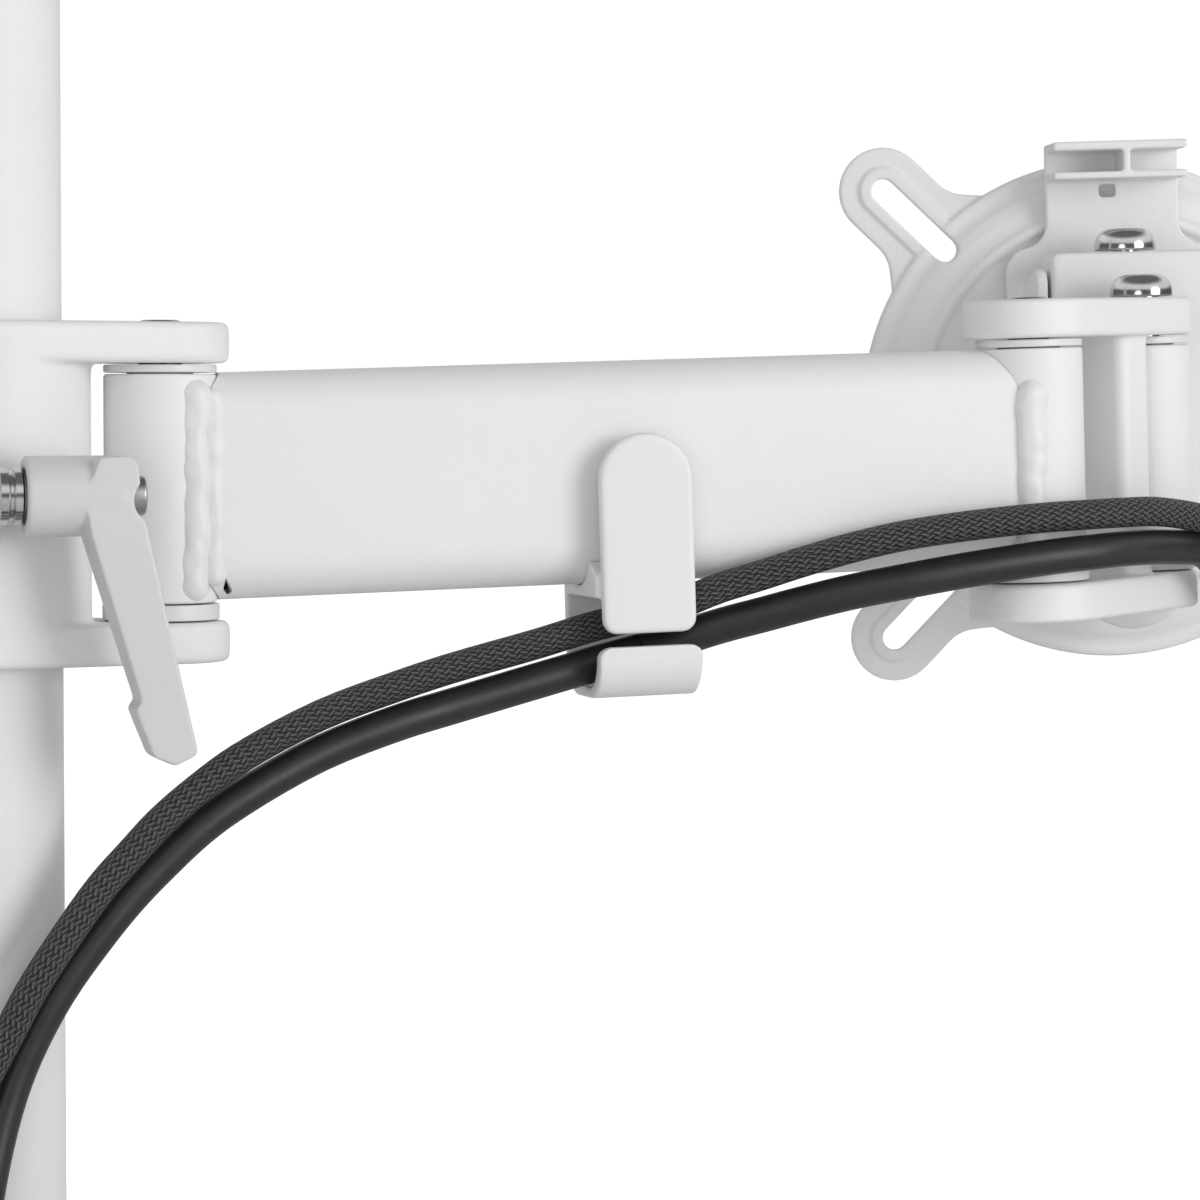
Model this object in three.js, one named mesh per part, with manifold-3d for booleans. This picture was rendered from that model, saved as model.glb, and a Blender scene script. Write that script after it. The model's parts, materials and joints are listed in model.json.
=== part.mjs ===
// Pole-mounted monitor arm: a floor plate and pole, a clamping collar, one swing arm,
// a double-pivot knuckle and a tilting head with a slotted monitor plate.
// Millimetres, +Z up, origin at the middle of the face that rests on the desk.

import * as THREE from 'three';
import { mergeVertices } from 'three/addons/utils/BufferGeometryUtils.js';
import Module from 'manifold-3d';

const wasm = await Module();
wasm.setup();

// ---------------------------------------------------------------- driving sizes

const gap = 0.3;                 // between pieces that touch
const running = 0.3;             // around a turning pin

const padThickness = 1.5;
const baseRadius = 55;
const baseThickness = 8;
const baseHoleCount = 4;
const baseHoleRadius = 3.5;
const baseHoleInset = 13;        // hole centre in from the rim

const poleRadius = 17.5;
const poleWall = 2;
const poleTop = 395;
const socketHeight = 35;
const socketWall = 8;
const socketScrewRadius = 3;
const socketScrewCount = 2;
const capHead = 4;
const capPlug = 14;

const collarHeight = 215;        // middle of the collar above the desk
const linerWall = 2.2;
const ringWall = 3.3;
const clevisHeight = 69;         // overall height of the collar and of the knuckle
const lugThickness = 8.3;
const pinOffset = 37.7;          // pole axis to shoulder pin
const lugRadius = 14;

const pinRadius = 4.4;
const bushRadius = 11.5;
const bearingFit = 0.5;
const topFlange = 1.6;
const bottomFlange = 3.2;
const bearingWall = 2.1;
const bearingDepth = 12;

const clampAxisY = -34;          // lever stud in front of the pole axis
const clampSlitX = -9;
const clampSlit = 3;
const earThickness = 7;
const earRadius = 10;
const studRadius = 4;
const bossRadius = 5.7;
const bossLength = 5;
const nutThickness = 6.5;
const nutRadius = 7.5;

const hubRadius = 7.9;
const hubLength = 20;
const leverReach = 53;
const leverLean = 0.29;

const armLength = 189.2;         // shoulder pin to elbow pin
const armRise = 0.0312;          // the tube rises towards its tip
const tubeThickness = 20;
const tubeWall = 2;

const clipFromPin = 98.4;
const clipHalfWidth = 10.1;
const clipWall = 2.2;
const clipTongueTop = 9;
const clipTongueBottom = 32.4;
const clipTongueFront = 16.5;
const clipTongueThickness = 2.8;
const clipMouth = 3;
const clipDepth = 46;

const knuckleTurn = 0.6224;      // knuckle direction from the arm
const knuckleLength = 46.2;      // elbow pin to head pivot
const knuckleEndRadius = 11;
const webStart = 23;
const webThickness = 11;
const webHalfWidth = 9.6;

const headTurn = 0.7295;         // head direction from the knuckle
const barrelRadius = 10.5;
const blockFront = 12.2;
const blockBack = 27;
const blockHalfWidth = 18;
const blockTop = 45.4;
const blockShoulder = 5;
const blockFootRadius = 13;
const blockFootCentre = -27.5;
const blockRecess = 6;
const neckHalfWidth = 8;
const neckHalfHeight = 19;

const headBoltRadius = 7;        // dome of a pivot or tension bolt
const headBoltDome = 5;
const tensionRadius = 3;
const tensionAxisX = 19.75;

const tiltAxisZ = 9.65;
const axleRadius = 4;
const cheekThickness = 2.5;
const cheekTop = 43;
const cheekBottom = -8;
const shieldFront = 35.3;
const shieldThickness = 2.2;
const shieldHalfWidth = 24.9;
const shieldNeck = 15.4;
const shieldBottom = -34;        // below the tilt axis
const shieldShoulder = 34;
const shieldTop = 54.2;
const shelfDepth = 13;
const shelfHeight = 7;

const plateFront = 39.2;
const plateSheet = 2;
const dishRadius = 58;
const dishDepth = 7.8;           // plate centre to the monitor face
const slotInner = 38;
const slotOuter = 52;
const slotRadius = 2.8;
const armTabRadius = 10.2;
const plateCount = 4;

const braidRadius = 3.2;
const rubberRadius = 3.8;
const coilTurnsPerLayer = 2;
const coilLayers = 3;
const rubberCoilRadius = 40;
const braidCoilRadius = 33;
const reliefLength = 14;
const stubLength = 2;
const videoPlugReach = 38;
const videoPlugRest = 5.6;
const mainsPlugReach = 46;
const mainsPlugRest = 11.1;

// ---------------------------------------------------------------- worked out

const shaftBore = pinRadius + running;
const bearingRadius = shaftBore + bearingWall;
const bushBore = bearingRadius + bearingFit;
const lugGap = clevisHeight - 2 * lugThickness;
const bushHeight = lugGap - topFlange - bottomFlange - 4 * gap;
const bushBase = -lugGap / 2 + bottomFlange + 2 * gap;
const bushTop = bushBase + bushHeight;
const tubeHeight = bushHeight;
const linerRadius = poleRadius + running + linerWall;
const ringBore = linerRadius + running;
const ringRadius = ringBore + ringWall;
const plateTop = padThickness + gap + baseThickness;
const socketTop = plateTop + gap + socketHeight;
const socketRadius = poleRadius + gap + socketWall;
const rightEarEnd = clampSlitX + clampSlit / 2 + earThickness;
const leftEarEnd = clampSlitX - clampSlit / 2 - earThickness;
const hubStart = rightEarEnd + gap + bossLength + gap;
const monitorFace = plateFront + dishDepth;

// ---------------------------------------------------------------- materials

const finish = (name, colour, roughness, metalness) => {
  const material = new THREE.MeshStandardMaterial({ color: colour, roughness, metalness });
  material.name = name;
  return material;
};
const coat = finish('powder_coat', 0xe9e9e9, 0.55, 0.0);
const plastic = finish('white_plastic', 0xeeeeee, 0.4, 0.0);
const nylon = finish('nylon', 0xe6e6e2, 0.45, 0.0);
const chrome = finish('chrome', 0xc8c8c8, 0.12, 1.0);
const steel = finish('steel', 0x8e9092, 0.35, 1.0);
const foam = finish('foam_pad', 0x2b2b2c, 0.9, 0.0);
const sleeve = finish('braided_sleeve', 0x1d1d1f, 0.75, 0.0);
const rubber = finish('cable_rubber', 0x17181a, 0.5, 0.0);

// ---------------------------------------------------------------- solids

function solid(geometry) {
  const bare = geometry.clone();
  for (const name of Object.keys(bare.attributes)) {
    if (name !== 'position') bare.deleteAttribute(name);
  }
  const merged = mergeVertices(bare, 1e-4);
  const index = merged.index.array;
  const kept = [];
  for (let i = 0; i < index.length; i += 3) {
    const [a, b, c] = [index[i], index[i + 1], index[i + 2]];
    if (a !== b && b !== c && c !== a) kept.push(a, b, c);
  }
  return new wasm.Manifold(new wasm.Mesh({
    numProp: 3,
    vertProperties: new Float32Array(merged.attributes.position.array),
    triVerts: new Uint32Array(kept),
  }));
}

function geometryOf(body) {
  const mesh = body.getMesh();
  const geometry = new THREE.BufferGeometry();
  geometry.setAttribute('position', new THREE.BufferAttribute(mesh.vertProperties, 3));
  geometry.setIndex(new THREE.BufferAttribute(mesh.triVerts, 1));
  const flat = geometry.toNonIndexed();
  flat.computeVertexNormals();
  return flat;
}

// Profile of [radius, height] pairs turned about Z.
function turned(profile, segments = 28) {
  const points = profile.map(([r, z]) => new THREE.Vector2(r, z));
  const geometry = new THREE.LatheGeometry(points, segments);
  geometry.rotateX(Math.PI / 2);
  return solid(geometry);
}

function rod(radius, low, high, segments = 20) {
  return turned([[0, low], [radius, low], [radius, high], [0, high]], segments);
}

function ring(outer, inner, low, high, segments = 28) {
  return turned([[inner, low], [outer, low], [outer, high], [inner, high], [inner, low]], segments);
}

function slab(shape, low, high, curveSegments = 16) {
  const options = { depth: high - low, bevelEnabled: false, curveSegments };
  const geometry = new THREE.ExtrudeGeometry(shape, options);
  geometry.translate(0, 0, low);
  return solid(geometry);
}

function block(x0, x1, y0, y1, z0, z1) {
  const geometry = new THREE.BoxGeometry(x1 - x0, y1 - y0, z1 - z0);
  geometry.translate((x0 + x1) / 2, (y0 + y1) / 2, (z0 + z1) / 2);
  return solid(geometry);
}

const quarter = Math.PI / 2;

// A solid whose own Z runs along the row's X, with its X along Y and its Y along Z.
function alongX(body) {
  return body.rotate([90, 0, 90]);
}

// A solid whose own Z runs along the row's Y, with its X along Z.
function alongY(body) {
  return body.rotate([-90, 0, 0]);
}

function hexagon(radius) {
  const shape = new THREE.Shape();
  for (let i = 0; i < 6; i += 1) {
    const angle = (i * Math.PI) / 3;
    const step = i === 0 ? 'moveTo' : 'lineTo';
    shape[step](radius * Math.cos(angle), radius * Math.sin(angle));
  }
  shape.closePath();
  return shape;
}

// Outline round two circles of different size on the X axis.
function strap(radiusA, radiusB, distance) {
  const lean = Math.acos((radiusA - radiusB) / distance);
  const shape = new THREE.Shape();
  shape.absarc(0, 0, radiusA, lean, 2 * Math.PI - lean, false);
  shape.absarc(distance, 0, radiusB, -lean, lean, false);
  shape.closePath();
  return shape;
}

function roundedBox(width, height, radius) {
  const [w, h] = [width / 2, height / 2];
  const shape = new THREE.Shape();
  shape.absarc(w - radius, h - radius, radius, 0, quarter, false);
  shape.absarc(-w + radius, h - radius, radius, quarter, 2 * quarter, false);
  shape.absarc(-w + radius, -h + radius, radius, 2 * quarter, 3 * quarter, false);
  shape.absarc(w - radius, -h + radius, radius, 3 * quarter, 4 * quarter, false);
  shape.closePath();
  return shape;
}

// Button head with a flat top and a hex socket, its underside at z = 0.
function domeHead(radius, height) {
  const flat = radius * 0.45;
  const bodyPoints = [[0, 0], [radius, 0], [radius, height * 0.18]];
  for (let i = 1; i <= 5; i += 1) {
    const angle = (i / 5) * quarter;
    const r = flat + (radius - flat) * Math.cos(angle);
    bodyPoints.push([r, height * (0.18 + 0.82 * Math.sin(angle))]);
  }
  bodyPoints.push([0, height]);
  const socket = slab(hexagon(radius * 0.36), height * 0.45, height + 1);
  return turned(bodyPoints, 28).subtract(socket);
}

// A tube along a list of points, with a step about every two and a half diameters.
function lead(points, radius) {
  const curve = new THREE.CatmullRomCurve3(points.map((p) => new THREE.Vector3(...p)), false, 'centripetal');
  const steps = Math.round(curve.getLength() / (5 * radius));
  const shape = new THREE.Shape();
  shape.absarc(0, 0, radius, 0, 2 * Math.PI, false);
  const options = { extrudePath: curve, steps, curveSegments: 5, bevelEnabled: false };
  return solid(new THREE.ExtrudeGeometry(shape, options));
}

// ---------------------------------------------------------------- scene graph

const root = new THREE.Group();

function groupAt(parent, x, y, z) {
  const group = new THREE.Group();
  group.position.set(x, y, z);
  parent.add(group);
  return group;
}

function piece(parent, name, body, material) {
  const mesh = new THREE.Mesh(geometryOf(body), material);
  mesh.name = name;
  parent.add(mesh);
  return mesh;
}

// ---------------------------------------------------------------- desk plate and pole

function baseHoles(radius, low, high) {
  const reach = baseRadius - baseHoleInset;
  let holes = null;
  for (let i = 0; i < baseHoleCount; i += 1) {
    const angle = quarter / 2 + (i * 2 * Math.PI) / baseHoleCount;
    const hole = rod(radius, low, high, 24).translate([reach * Math.cos(angle), reach * Math.sin(angle), 0]);
    holes = holes ? holes.add(hole) : hole;
  }
  return holes;
}

const padSolid = rod(baseRadius - 1, 0, padThickness, 28);
piece(root, 'desk_pad', padSolid.subtract(baseHoles(baseHoleRadius + 0.5, -1, padThickness + 1)), foam);

const plateLow = padThickness + gap;
const plateBody = turned([
  [0, plateLow], [baseRadius, plateLow], [baseRadius, plateTop - 1.5], [baseRadius - 1.5, plateTop], [0, plateTop],
], 32);
piece(root, 'base_plate', plateBody.subtract(baseHoles(baseHoleRadius, 0, plateTop + 1)), coat);

const socketLow = plateTop + gap;
const screwHeight = socketLow + socketHeight * 0.6;
function socketScrewAt(body, i) {
  const turn = i * 90;
  return body.translate([0, 0, screwHeight]).rotate([0, 0, turn]);
}
let socketBody = turned([
  [poleRadius + gap, socketLow], [socketRadius, socketLow], [socketRadius, socketTop - 2],
  [socketRadius - 2, socketTop], [poleRadius + gap, socketTop], [poleRadius + gap, socketLow],
], 28);
for (let i = 0; i < socketScrewCount; i += 1) {
  const drill = alongY(rod(socketScrewRadius + gap, poleRadius - 1, socketRadius + 1, 20));
  socketBody = socketBody.subtract(socketScrewAt(drill, i));
}
piece(root, 'pole_socket', socketBody, coat);

for (let i = 0; i < socketScrewCount; i += 1) {
  const screwEnd = socketRadius - 0.4;
  const screw = rod(socketScrewRadius, poleRadius + gap, screwEnd, 20);
  const hexHole = slab(hexagon(socketScrewRadius * 0.55), screwEnd - 3, screwEnd + 1);
  piece(root, `socket_screw_${i + 1}`, socketScrewAt(alongY(screw.subtract(hexHole)), i), steel);
}

piece(root, 'pole', ring(poleRadius, poleRadius - poleWall, socketLow, poleTop, 32), coat);

const plugRadius = poleRadius - poleWall - gap;
const capLow = poleTop + gap;
piece(root, 'pole_cap', turned([
  [0, capLow - capPlug], [plugRadius - 1, capLow - capPlug], [plugRadius, capLow - capPlug + 2], [plugRadius, capLow],
  [poleRadius, capLow], [poleRadius, capLow + capHead - 2], [poleRadius - 2, capLow + capHead], [0, capLow + capHead],
], 28), plastic);

// ---------------------------------------------------------------- height liner

const linerHeight = clevisHeight - 2;
const liner = groupAt(root, 0, 0, collarHeight);
const linerBody = ring(linerRadius, poleRadius + running, -linerHeight / 2, linerHeight / 2, 28);
const linerSplit = block(-linerRadius - 1, 0, -1.5, 1.5, -linerHeight, linerHeight);
piece(liner, 'height_liner', linerBody.subtract(linerSplit), nylon);

// ---------------------------------------------------------------- collar

const collar = groupAt(root, 0, 0, collarHeight);
const halfClevis = clevisHeight / 2;

function lugPair(shape) {
  const upper = slab(shape, halfClevis - lugThickness, halfClevis, 8);
  const lower = slab(shape, -halfClevis, -halfClevis + lugThickness, 8);
  return upper.add(lower);
}

function earBody(x0, x1) {
  const disc = alongX(rod(earRadius, x0, x1, 32)).translate([0, clampAxisY, 0]);
  const bridge = block(x0, x1, clampAxisY, -ringBore * 0.6, -earRadius, earRadius);
  return disc.add(bridge);
}

function collarBody() {
  let body = lugPair(strap(ringRadius, lugRadius, pinOffset));
  body = body.add(rod(ringRadius, -halfClevis, halfClevis, 32));
  body = body.add(earBody(leftEarEnd, clampSlitX - clampSlit / 2 + 1));
  body = body.add(earBody(clampSlitX + clampSlit / 2 - 1, rightEarEnd));
  body = body.subtract(rod(ringBore, -clevisHeight, clevisHeight, 24));
  const slitBox = block(
    clampSlitX - clampSlit / 2, clampSlitX + clampSlit / 2,
    clampAxisY - 2 * earRadius, -ringBore * 0.5, -clevisHeight, clevisHeight,
  );
  body = body.subtract(slitBox);
  const studHole = alongX(rod(studRadius + running, leftEarEnd - 1, rightEarEnd + 1, 24));
  body = body.subtract(studHole.translate([0, clampAxisY, 0]));
  const pinHole = rod(pinRadius + gap, -clevisHeight, clevisHeight, 24).translate([pinOffset, 0, 0]);
  return body.subtract(pinHole);
}
piece(collar, 'collar', collarBody(), coat);

// Flush pivot pin with a shallow drive recess in its top.
function pivotPin() {
  const dome = 0.5;
  const shank = turned([
    [0, -halfClevis], [pinRadius - 0.5, -halfClevis], [pinRadius, -halfClevis + 0.5],
    [pinRadius, halfClevis], [pinRadius - 0.8, halfClevis + dome], [0, halfClevis + dome],
  ], 32);
  return shank.subtract(slab(hexagon(pinRadius * 0.5), halfClevis - 3, halfClevis + 1));
}
piece(groupAt(collar, pinOffset, 0, 0), 'shoulder_pin', pivotPin(), steel);

const clamp = groupAt(collar, 0, clampAxisY, 0);
const nutBody = slab(hexagon(nutRadius), leftEarEnd - gap - nutThickness, leftEarEnd - gap);
const nutHole = rod(studRadius + gap, leftEarEnd - 20, leftEarEnd + 1, 24);
piece(clamp, 'clamp_nut', alongX(nutBody.subtract(nutHole)), steel);

// ---------------------------------------------------------------- ratchet clamp lever

const studEnd = leftEarEnd - nutThickness - 2;
const hubEnd = hubStart + hubLength;
const splineLength = 9;
const splineRadius = 4.6;
const hubFloor = 2;
const screwHeadRadius = 3.6;
const screwHeadHeight = 3;
const screwRadius = 2;
const floorLow = hubStart + splineLength + gap;
const floorHigh = floorLow + hubFloor;
const screwHeadLow = hubEnd - 0.6 - screwHeadHeight;

function leverStud() {
  let body = rod(studRadius, studEnd, rightEarEnd + gap + 1, 32);
  body = body.add(rod(bossRadius, rightEarEnd + gap, rightEarEnd + gap + bossLength, 28));
  body = body.add(rod(splineRadius, rightEarEnd + gap + bossLength - 1, hubStart + splineLength, 32));
  for (let i = 0; i < 12; i += 1) {
    const tooth = block(splineRadius - 0.4, splineRadius + 0.6, -0.6, 0.6, hubStart + 0.5, hubStart + splineLength - 0.5);
    body = body.add(tooth.rotate([0, 0, i * 30]));
  }
  const tapped = rod(screwRadius + gap, hubStart + splineLength - 5, hubStart + splineLength + 1, 16);
  return alongX(body.subtract(tapped));
}
piece(clamp, 'lever_stud', leverStud(), chrome);

function leverScrew() {
  const shank = rod(screwRadius, hubStart + splineLength - 4.5, screwHeadLow + 1, 16);
  const head = turned([
    [0, screwHeadLow], [screwHeadRadius, screwHeadLow], [screwHeadRadius, screwHeadLow + 2.2],
    [screwHeadRadius - 1.2, screwHeadLow + screwHeadHeight], [0, screwHeadLow + screwHeadHeight],
  ], 24);
  const socket = slab(hexagon(1.6), screwHeadLow + 1.4, screwHeadLow + 4);
  return alongX(shank.add(head).subtract(socket));
}
piece(clamp, 'lever_screw', leverScrew(), steel);

// The spring sits round the screw, between the floor of the hub and the screw's head.
function leverSpring() {
  const wire = 0.3;
  const coils = 3;
  const radius = (screwRadius + screwHeadRadius) / 2;
  const low = floorHigh + gap + wire;
  const high = screwHeadLow - gap - wire;
  const points = [];
  const count = coils * 12;
  for (let i = 0; i <= count; i += 1) {
    const angle = (i / 12) * 2 * Math.PI;
    const height = low + ((high - low) * i) / count;
    points.push(new THREE.Vector3(radius * Math.cos(angle), radius * Math.sin(angle), height));
  }
  const shape = new THREE.Shape();
  shape.absarc(0, 0, wire, 0, 2 * Math.PI, false);
  const path = new THREE.CatmullRomCurve3(points);
  const options = { extrudePath: path, steps: count, curveSegments: 3, bevelEnabled: false };
  return alongX(solid(new THREE.ExtrudeGeometry(shape, options)));
}
piece(clamp, 'lever_spring', leverSpring(), steel);

function leverHandle() {
  const hub = alongX(turned([
    [0, hubStart], [hubRadius - 0.8, hubStart], [hubRadius, hubStart + 0.8],
    [hubRadius, hubEnd - 1.5], [hubRadius - 1.5, hubEnd], [0, hubEnd],
  ], 28));
  const grip = new THREE.Shape();
  const rootHalf = 6.4;
  const tipHalf = 4.6;
  grip.moveTo(-rootHalf, 2);
  grip.lineTo(-tipHalf, -leverReach + 12);
  grip.lineTo(-tipHalf - 1.6, -leverReach + 9);
  grip.lineTo(-tipHalf + 1.5, -leverReach);
  grip.lineTo(tipHalf - 1, -leverReach - 1);
  grip.lineTo(tipHalf, -leverReach + 2);
  grip.lineTo(rootHalf - 0.4, 2);
  grip.closePath();
  const turn = (leverLean * 180) / Math.PI;
  const bar = slab(grip, -4.6, 4.6).rotate([90, 0, 0]);
  const leaning = bar.rotate([0, -turn, 0]).translate([hubEnd - rootHalf - 1.5, 0, 0]);
  let body = hub.add(leaning);
  body = body.subtract(alongX(rod(splineRadius + 0.6 + gap, hubStart - 1, floorLow, 28)));
  body = body.subtract(alongX(rod(screwRadius + 2 * gap, floorLow - 1, floorHigh + 1, 20)));
  return body.subtract(alongX(rod(screwHeadRadius + gap, floorHigh, hubEnd + 12, 24)));
}
piece(clamp, 'clamp_lever', leverHandle(), plastic);

// ---------------------------------------------------------------- swing arm

const arm = groupAt(collar, pinOffset, 0, 0);
const raised = groupAt(arm, 0, 0, 0);
raised.rotation.y = -armRise;

function bush() {
  return ring(bushRadius, bushBore, bushBase, bushTop, 28);
}

// Flanged nylon bearings: a sleeve inside the bush and a flange that fills the clevis gap.
function upperBearing(flange) {
  const seat = bushTop + gap;
  return turned([
    [shaftBore, seat - bearingDepth], [bearingRadius, seat - bearingDepth], [bearingRadius, seat],
    [flange, seat], [flange, seat + topFlange], [shaftBore, seat + topFlange],
    [shaftBore, seat - bearingDepth],
  ], 28);
}

function lowerBearing(flange) {
  const seat = bushBase - gap;
  return turned([
    [shaftBore, seat - bottomFlange], [flange, seat - bottomFlange], [flange, seat],
    [bearingRadius, seat], [bearingRadius, seat + bearingDepth], [shaftBore, seat + bearingDepth],
    [shaftBore, seat - bottomFlange],
  ], 28);
}

function bearings(parent, name, barrel) {
  piece(parent, `${name}_bearing_top`, upperBearing(barrel), nylon);
  piece(parent, `${name}_bearing_bottom`, lowerBearing(barrel + 0.4), nylon);
}

piece(arm, 'shoulder_bush', bush(), coat);
bearings(arm, 'shoulder', bushRadius);

function tubeShape(height, thickness) {
  return roundedBox(thickness, height, thickness / 2 - 0.01);
}

const bushMiddle = (bushBase + bushTop) / 2;

function armTube() {
  const outer = alongX(slab(tubeShape(tubeHeight, tubeThickness), 0, armLength, 8));
  const innerShape = tubeShape(tubeHeight - 2 * tubeWall, tubeThickness - 2 * tubeWall);
  const inner = alongX(slab(innerShape, -1, armLength + 1, 6));
  let body = outer.subtract(inner).translate([0, 0, bushMiddle]);
  const tilt = (armRise * 180) / Math.PI;
  const nearCut = rod(bushRadius + gap, -clevisHeight, clevisHeight, 28).rotate([0, tilt, 0]);
  const farCut = rod(bushRadius + gap, -clevisHeight, clevisHeight, 28).translate([armLength, 0, 0]);
  body = body.subtract(nearCut).subtract(farCut);
  return body;
}
piece(raised, 'arm_tube', armTube(), coat);

const elbow = groupAt(raised, armLength, 0, 0);
piece(elbow, 'elbow_bush', bush(), coat);
bearings(elbow, 'elbow', bushRadius);

// Cable clip: a tongue in front of the tube, a saddle under it and a hook below for the cables.
function cableClip() {
  const tubeBottom = tubeHeight / 2 - bushMiddle;
  const saddleRadius = tubeThickness / 2 + gap;
  const saddleCentre = -tubeBottom + tubeThickness / 2;
  const tongueBack = -clipTongueFront + clipTongueThickness;
  const backWall = saddleRadius - 0.2;
  const hookBottom = -clipDepth;
  const lipTop = -clipTongueBottom - clipMouth;
  const tongueShape = roundedBox(2 * clipHalfWidth, clipTongueTop + clipTongueBottom, 2.8);
  const tongueMiddle = (clipTongueTop - clipTongueBottom) / 2;
  const tongueUpper = new THREE.Shape();
  tongueUpper.absarc(0, clipTongueTop - clipHalfWidth, clipHalfWidth, 0, Math.PI, false);
  tongueUpper.lineTo(-clipHalfWidth, tongueMiddle - 2);
  tongueUpper.lineTo(clipHalfWidth, tongueMiddle - 2);
  tongueUpper.closePath();
  const lowerHalf = slab(tongueShape, -clipTongueFront, tongueBack).translate([0, tongueMiddle, 0]);
  const trim = block(-20, 20, tongueMiddle, 40, -40, 28);
  const flatTongue = lowerHalf.subtract(trim).add(slab(tongueUpper, -clipTongueFront, tongueBack, 14));
  // the tongue is drawn in X and Y with its thickness along Z; stand it up so that Z becomes -Y
  const tongue = flatTongue.rotate([90, 0, 0]).mirror([0, 1, 0]);

  // profile across the arm, drawn as [y, z] and extruded along X
  const hookCurve = 9;
  const profile = new THREE.Shape();
  profile.moveTo(tongueBack - 0.6, saddleCentre - saddleRadius - clipWall);
  profile.lineTo(backWall - 1, saddleCentre - saddleRadius - clipWall);
  profile.lineTo(backWall - 1, hookBottom + hookCurve);
  profile.absarc(backWall - 1 - hookCurve + clipWall, hookBottom + hookCurve, hookCurve - clipWall, 0, -quarter, true);
  profile.absarc(-clipTongueFront + hookCurve + 1, hookBottom + hookCurve, hookCurve - clipWall, -quarter, -2 * quarter, true);
  profile.lineTo(-clipTongueFront + clipWall + 0.5, lipTop);
  profile.lineTo(-clipTongueFront - 0.2, lipTop);
  profile.absarc(-clipTongueFront + hookCurve, hookBottom + hookCurve, hookCurve, -2 * quarter, -quarter, false);
  profile.absarc(backWall - hookCurve + clipWall - 1, hookBottom + hookCurve, hookCurve, -quarter, 0, false);
  profile.lineTo(backWall + clipWall - 1, saddleCentre - 2);
  profile.lineTo(saddleRadius, saddleCentre - 2);
  profile.absarc(0, saddleCentre, saddleRadius, -0.19, -Math.PI + 0.5, true);
  profile.lineTo(tongueBack - 0.6, saddleCentre - 8);
  profile.closePath();
  const shell = alongX(slab(profile, -clipHalfWidth - 1, clipHalfWidth + 1, 10));
  const leadRise = block(clipHalfWidth - 6.8, 20, tongueBack - 3, 1, saddleCentre - saddleRadius - 4, 0);
  return tongue.add(shell.subtract(leadRise));
}
const clipGroup = groupAt(raised, clipFromPin, 0, 0);
piece(clipGroup, 'cable_clip', cableClip(), plastic);

// ---------------------------------------------------------------- knuckle

const knuckle = groupAt(elbow, 0, 0, 0);
knuckle.rotation.z = knuckleTurn;

const knuckleNutDepth = 5.6;
function knuckleBody() {
  let body = lugPair(strap(lugRadius, knuckleEndRadius, knuckleLength));
  body = body.add(block(webStart, webStart + webThickness, -webHalfWidth, webHalfWidth, -halfClevis + 1, halfClevis - 1));
  body = body.subtract(rod(pinRadius + gap, -clevisHeight, clevisHeight, 24));
  const boltHole = rod(studRadius + gap, -clevisHeight, clevisHeight, 24).translate([knuckleLength, 0, 0]);
  const pocket = slab(hexagon(nutRadius + gap), -clevisHeight, -halfClevis + knuckleNutDepth);
  return body.subtract(boltHole).subtract(pocket.translate([knuckleLength, 0, 0]));
}
piece(knuckle, 'knuckle', knuckleBody(), coat);
piece(knuckle, 'elbow_pin', pivotPin(), steel);

const head = groupAt(knuckle, knuckleLength, 0, 0);
const headPivotShank = rod(studRadius, -halfClevis + 0.6, halfClevis + 1, 32);
const pivotDome = domeHead(headBoltRadius, headBoltDome).translate([0, 0, halfClevis + gap]);
piece(head, 'pivot_bolt', headPivotShank.add(pivotDome), chrome);
const pivotNutBody = slab(hexagon(nutRadius), -halfClevis + gap, -halfClevis + knuckleNutDepth - gap);
piece(head, 'pivot_nut', pivotNutBody.subtract(rod(studRadius + gap, -clevisHeight, 0, 24)), steel);

// ---------------------------------------------------------------- head block

const headFrame = groupAt(head, 0, 0, 0);
headFrame.rotation.z = headTurn;
bearings(headFrame, 'head', barrelRadius);

function blockOutline() {
  const lean = Math.asin((blockHalfWidth - blockFootRadius) / (blockShoulder - blockFootCentre));
  const shape = new THREE.Shape();
  shape.moveTo(blockHalfWidth, blockTop);
  shape.lineTo(-blockHalfWidth, blockTop);
  shape.lineTo(-blockHalfWidth, blockShoulder);
  shape.absarc(0, blockFootCentre, blockFootRadius, Math.PI + lean, 2 * Math.PI - lean, false);
  shape.lineTo(blockHalfWidth, blockShoulder);
  shape.closePath();
  return shape;
}

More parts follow.
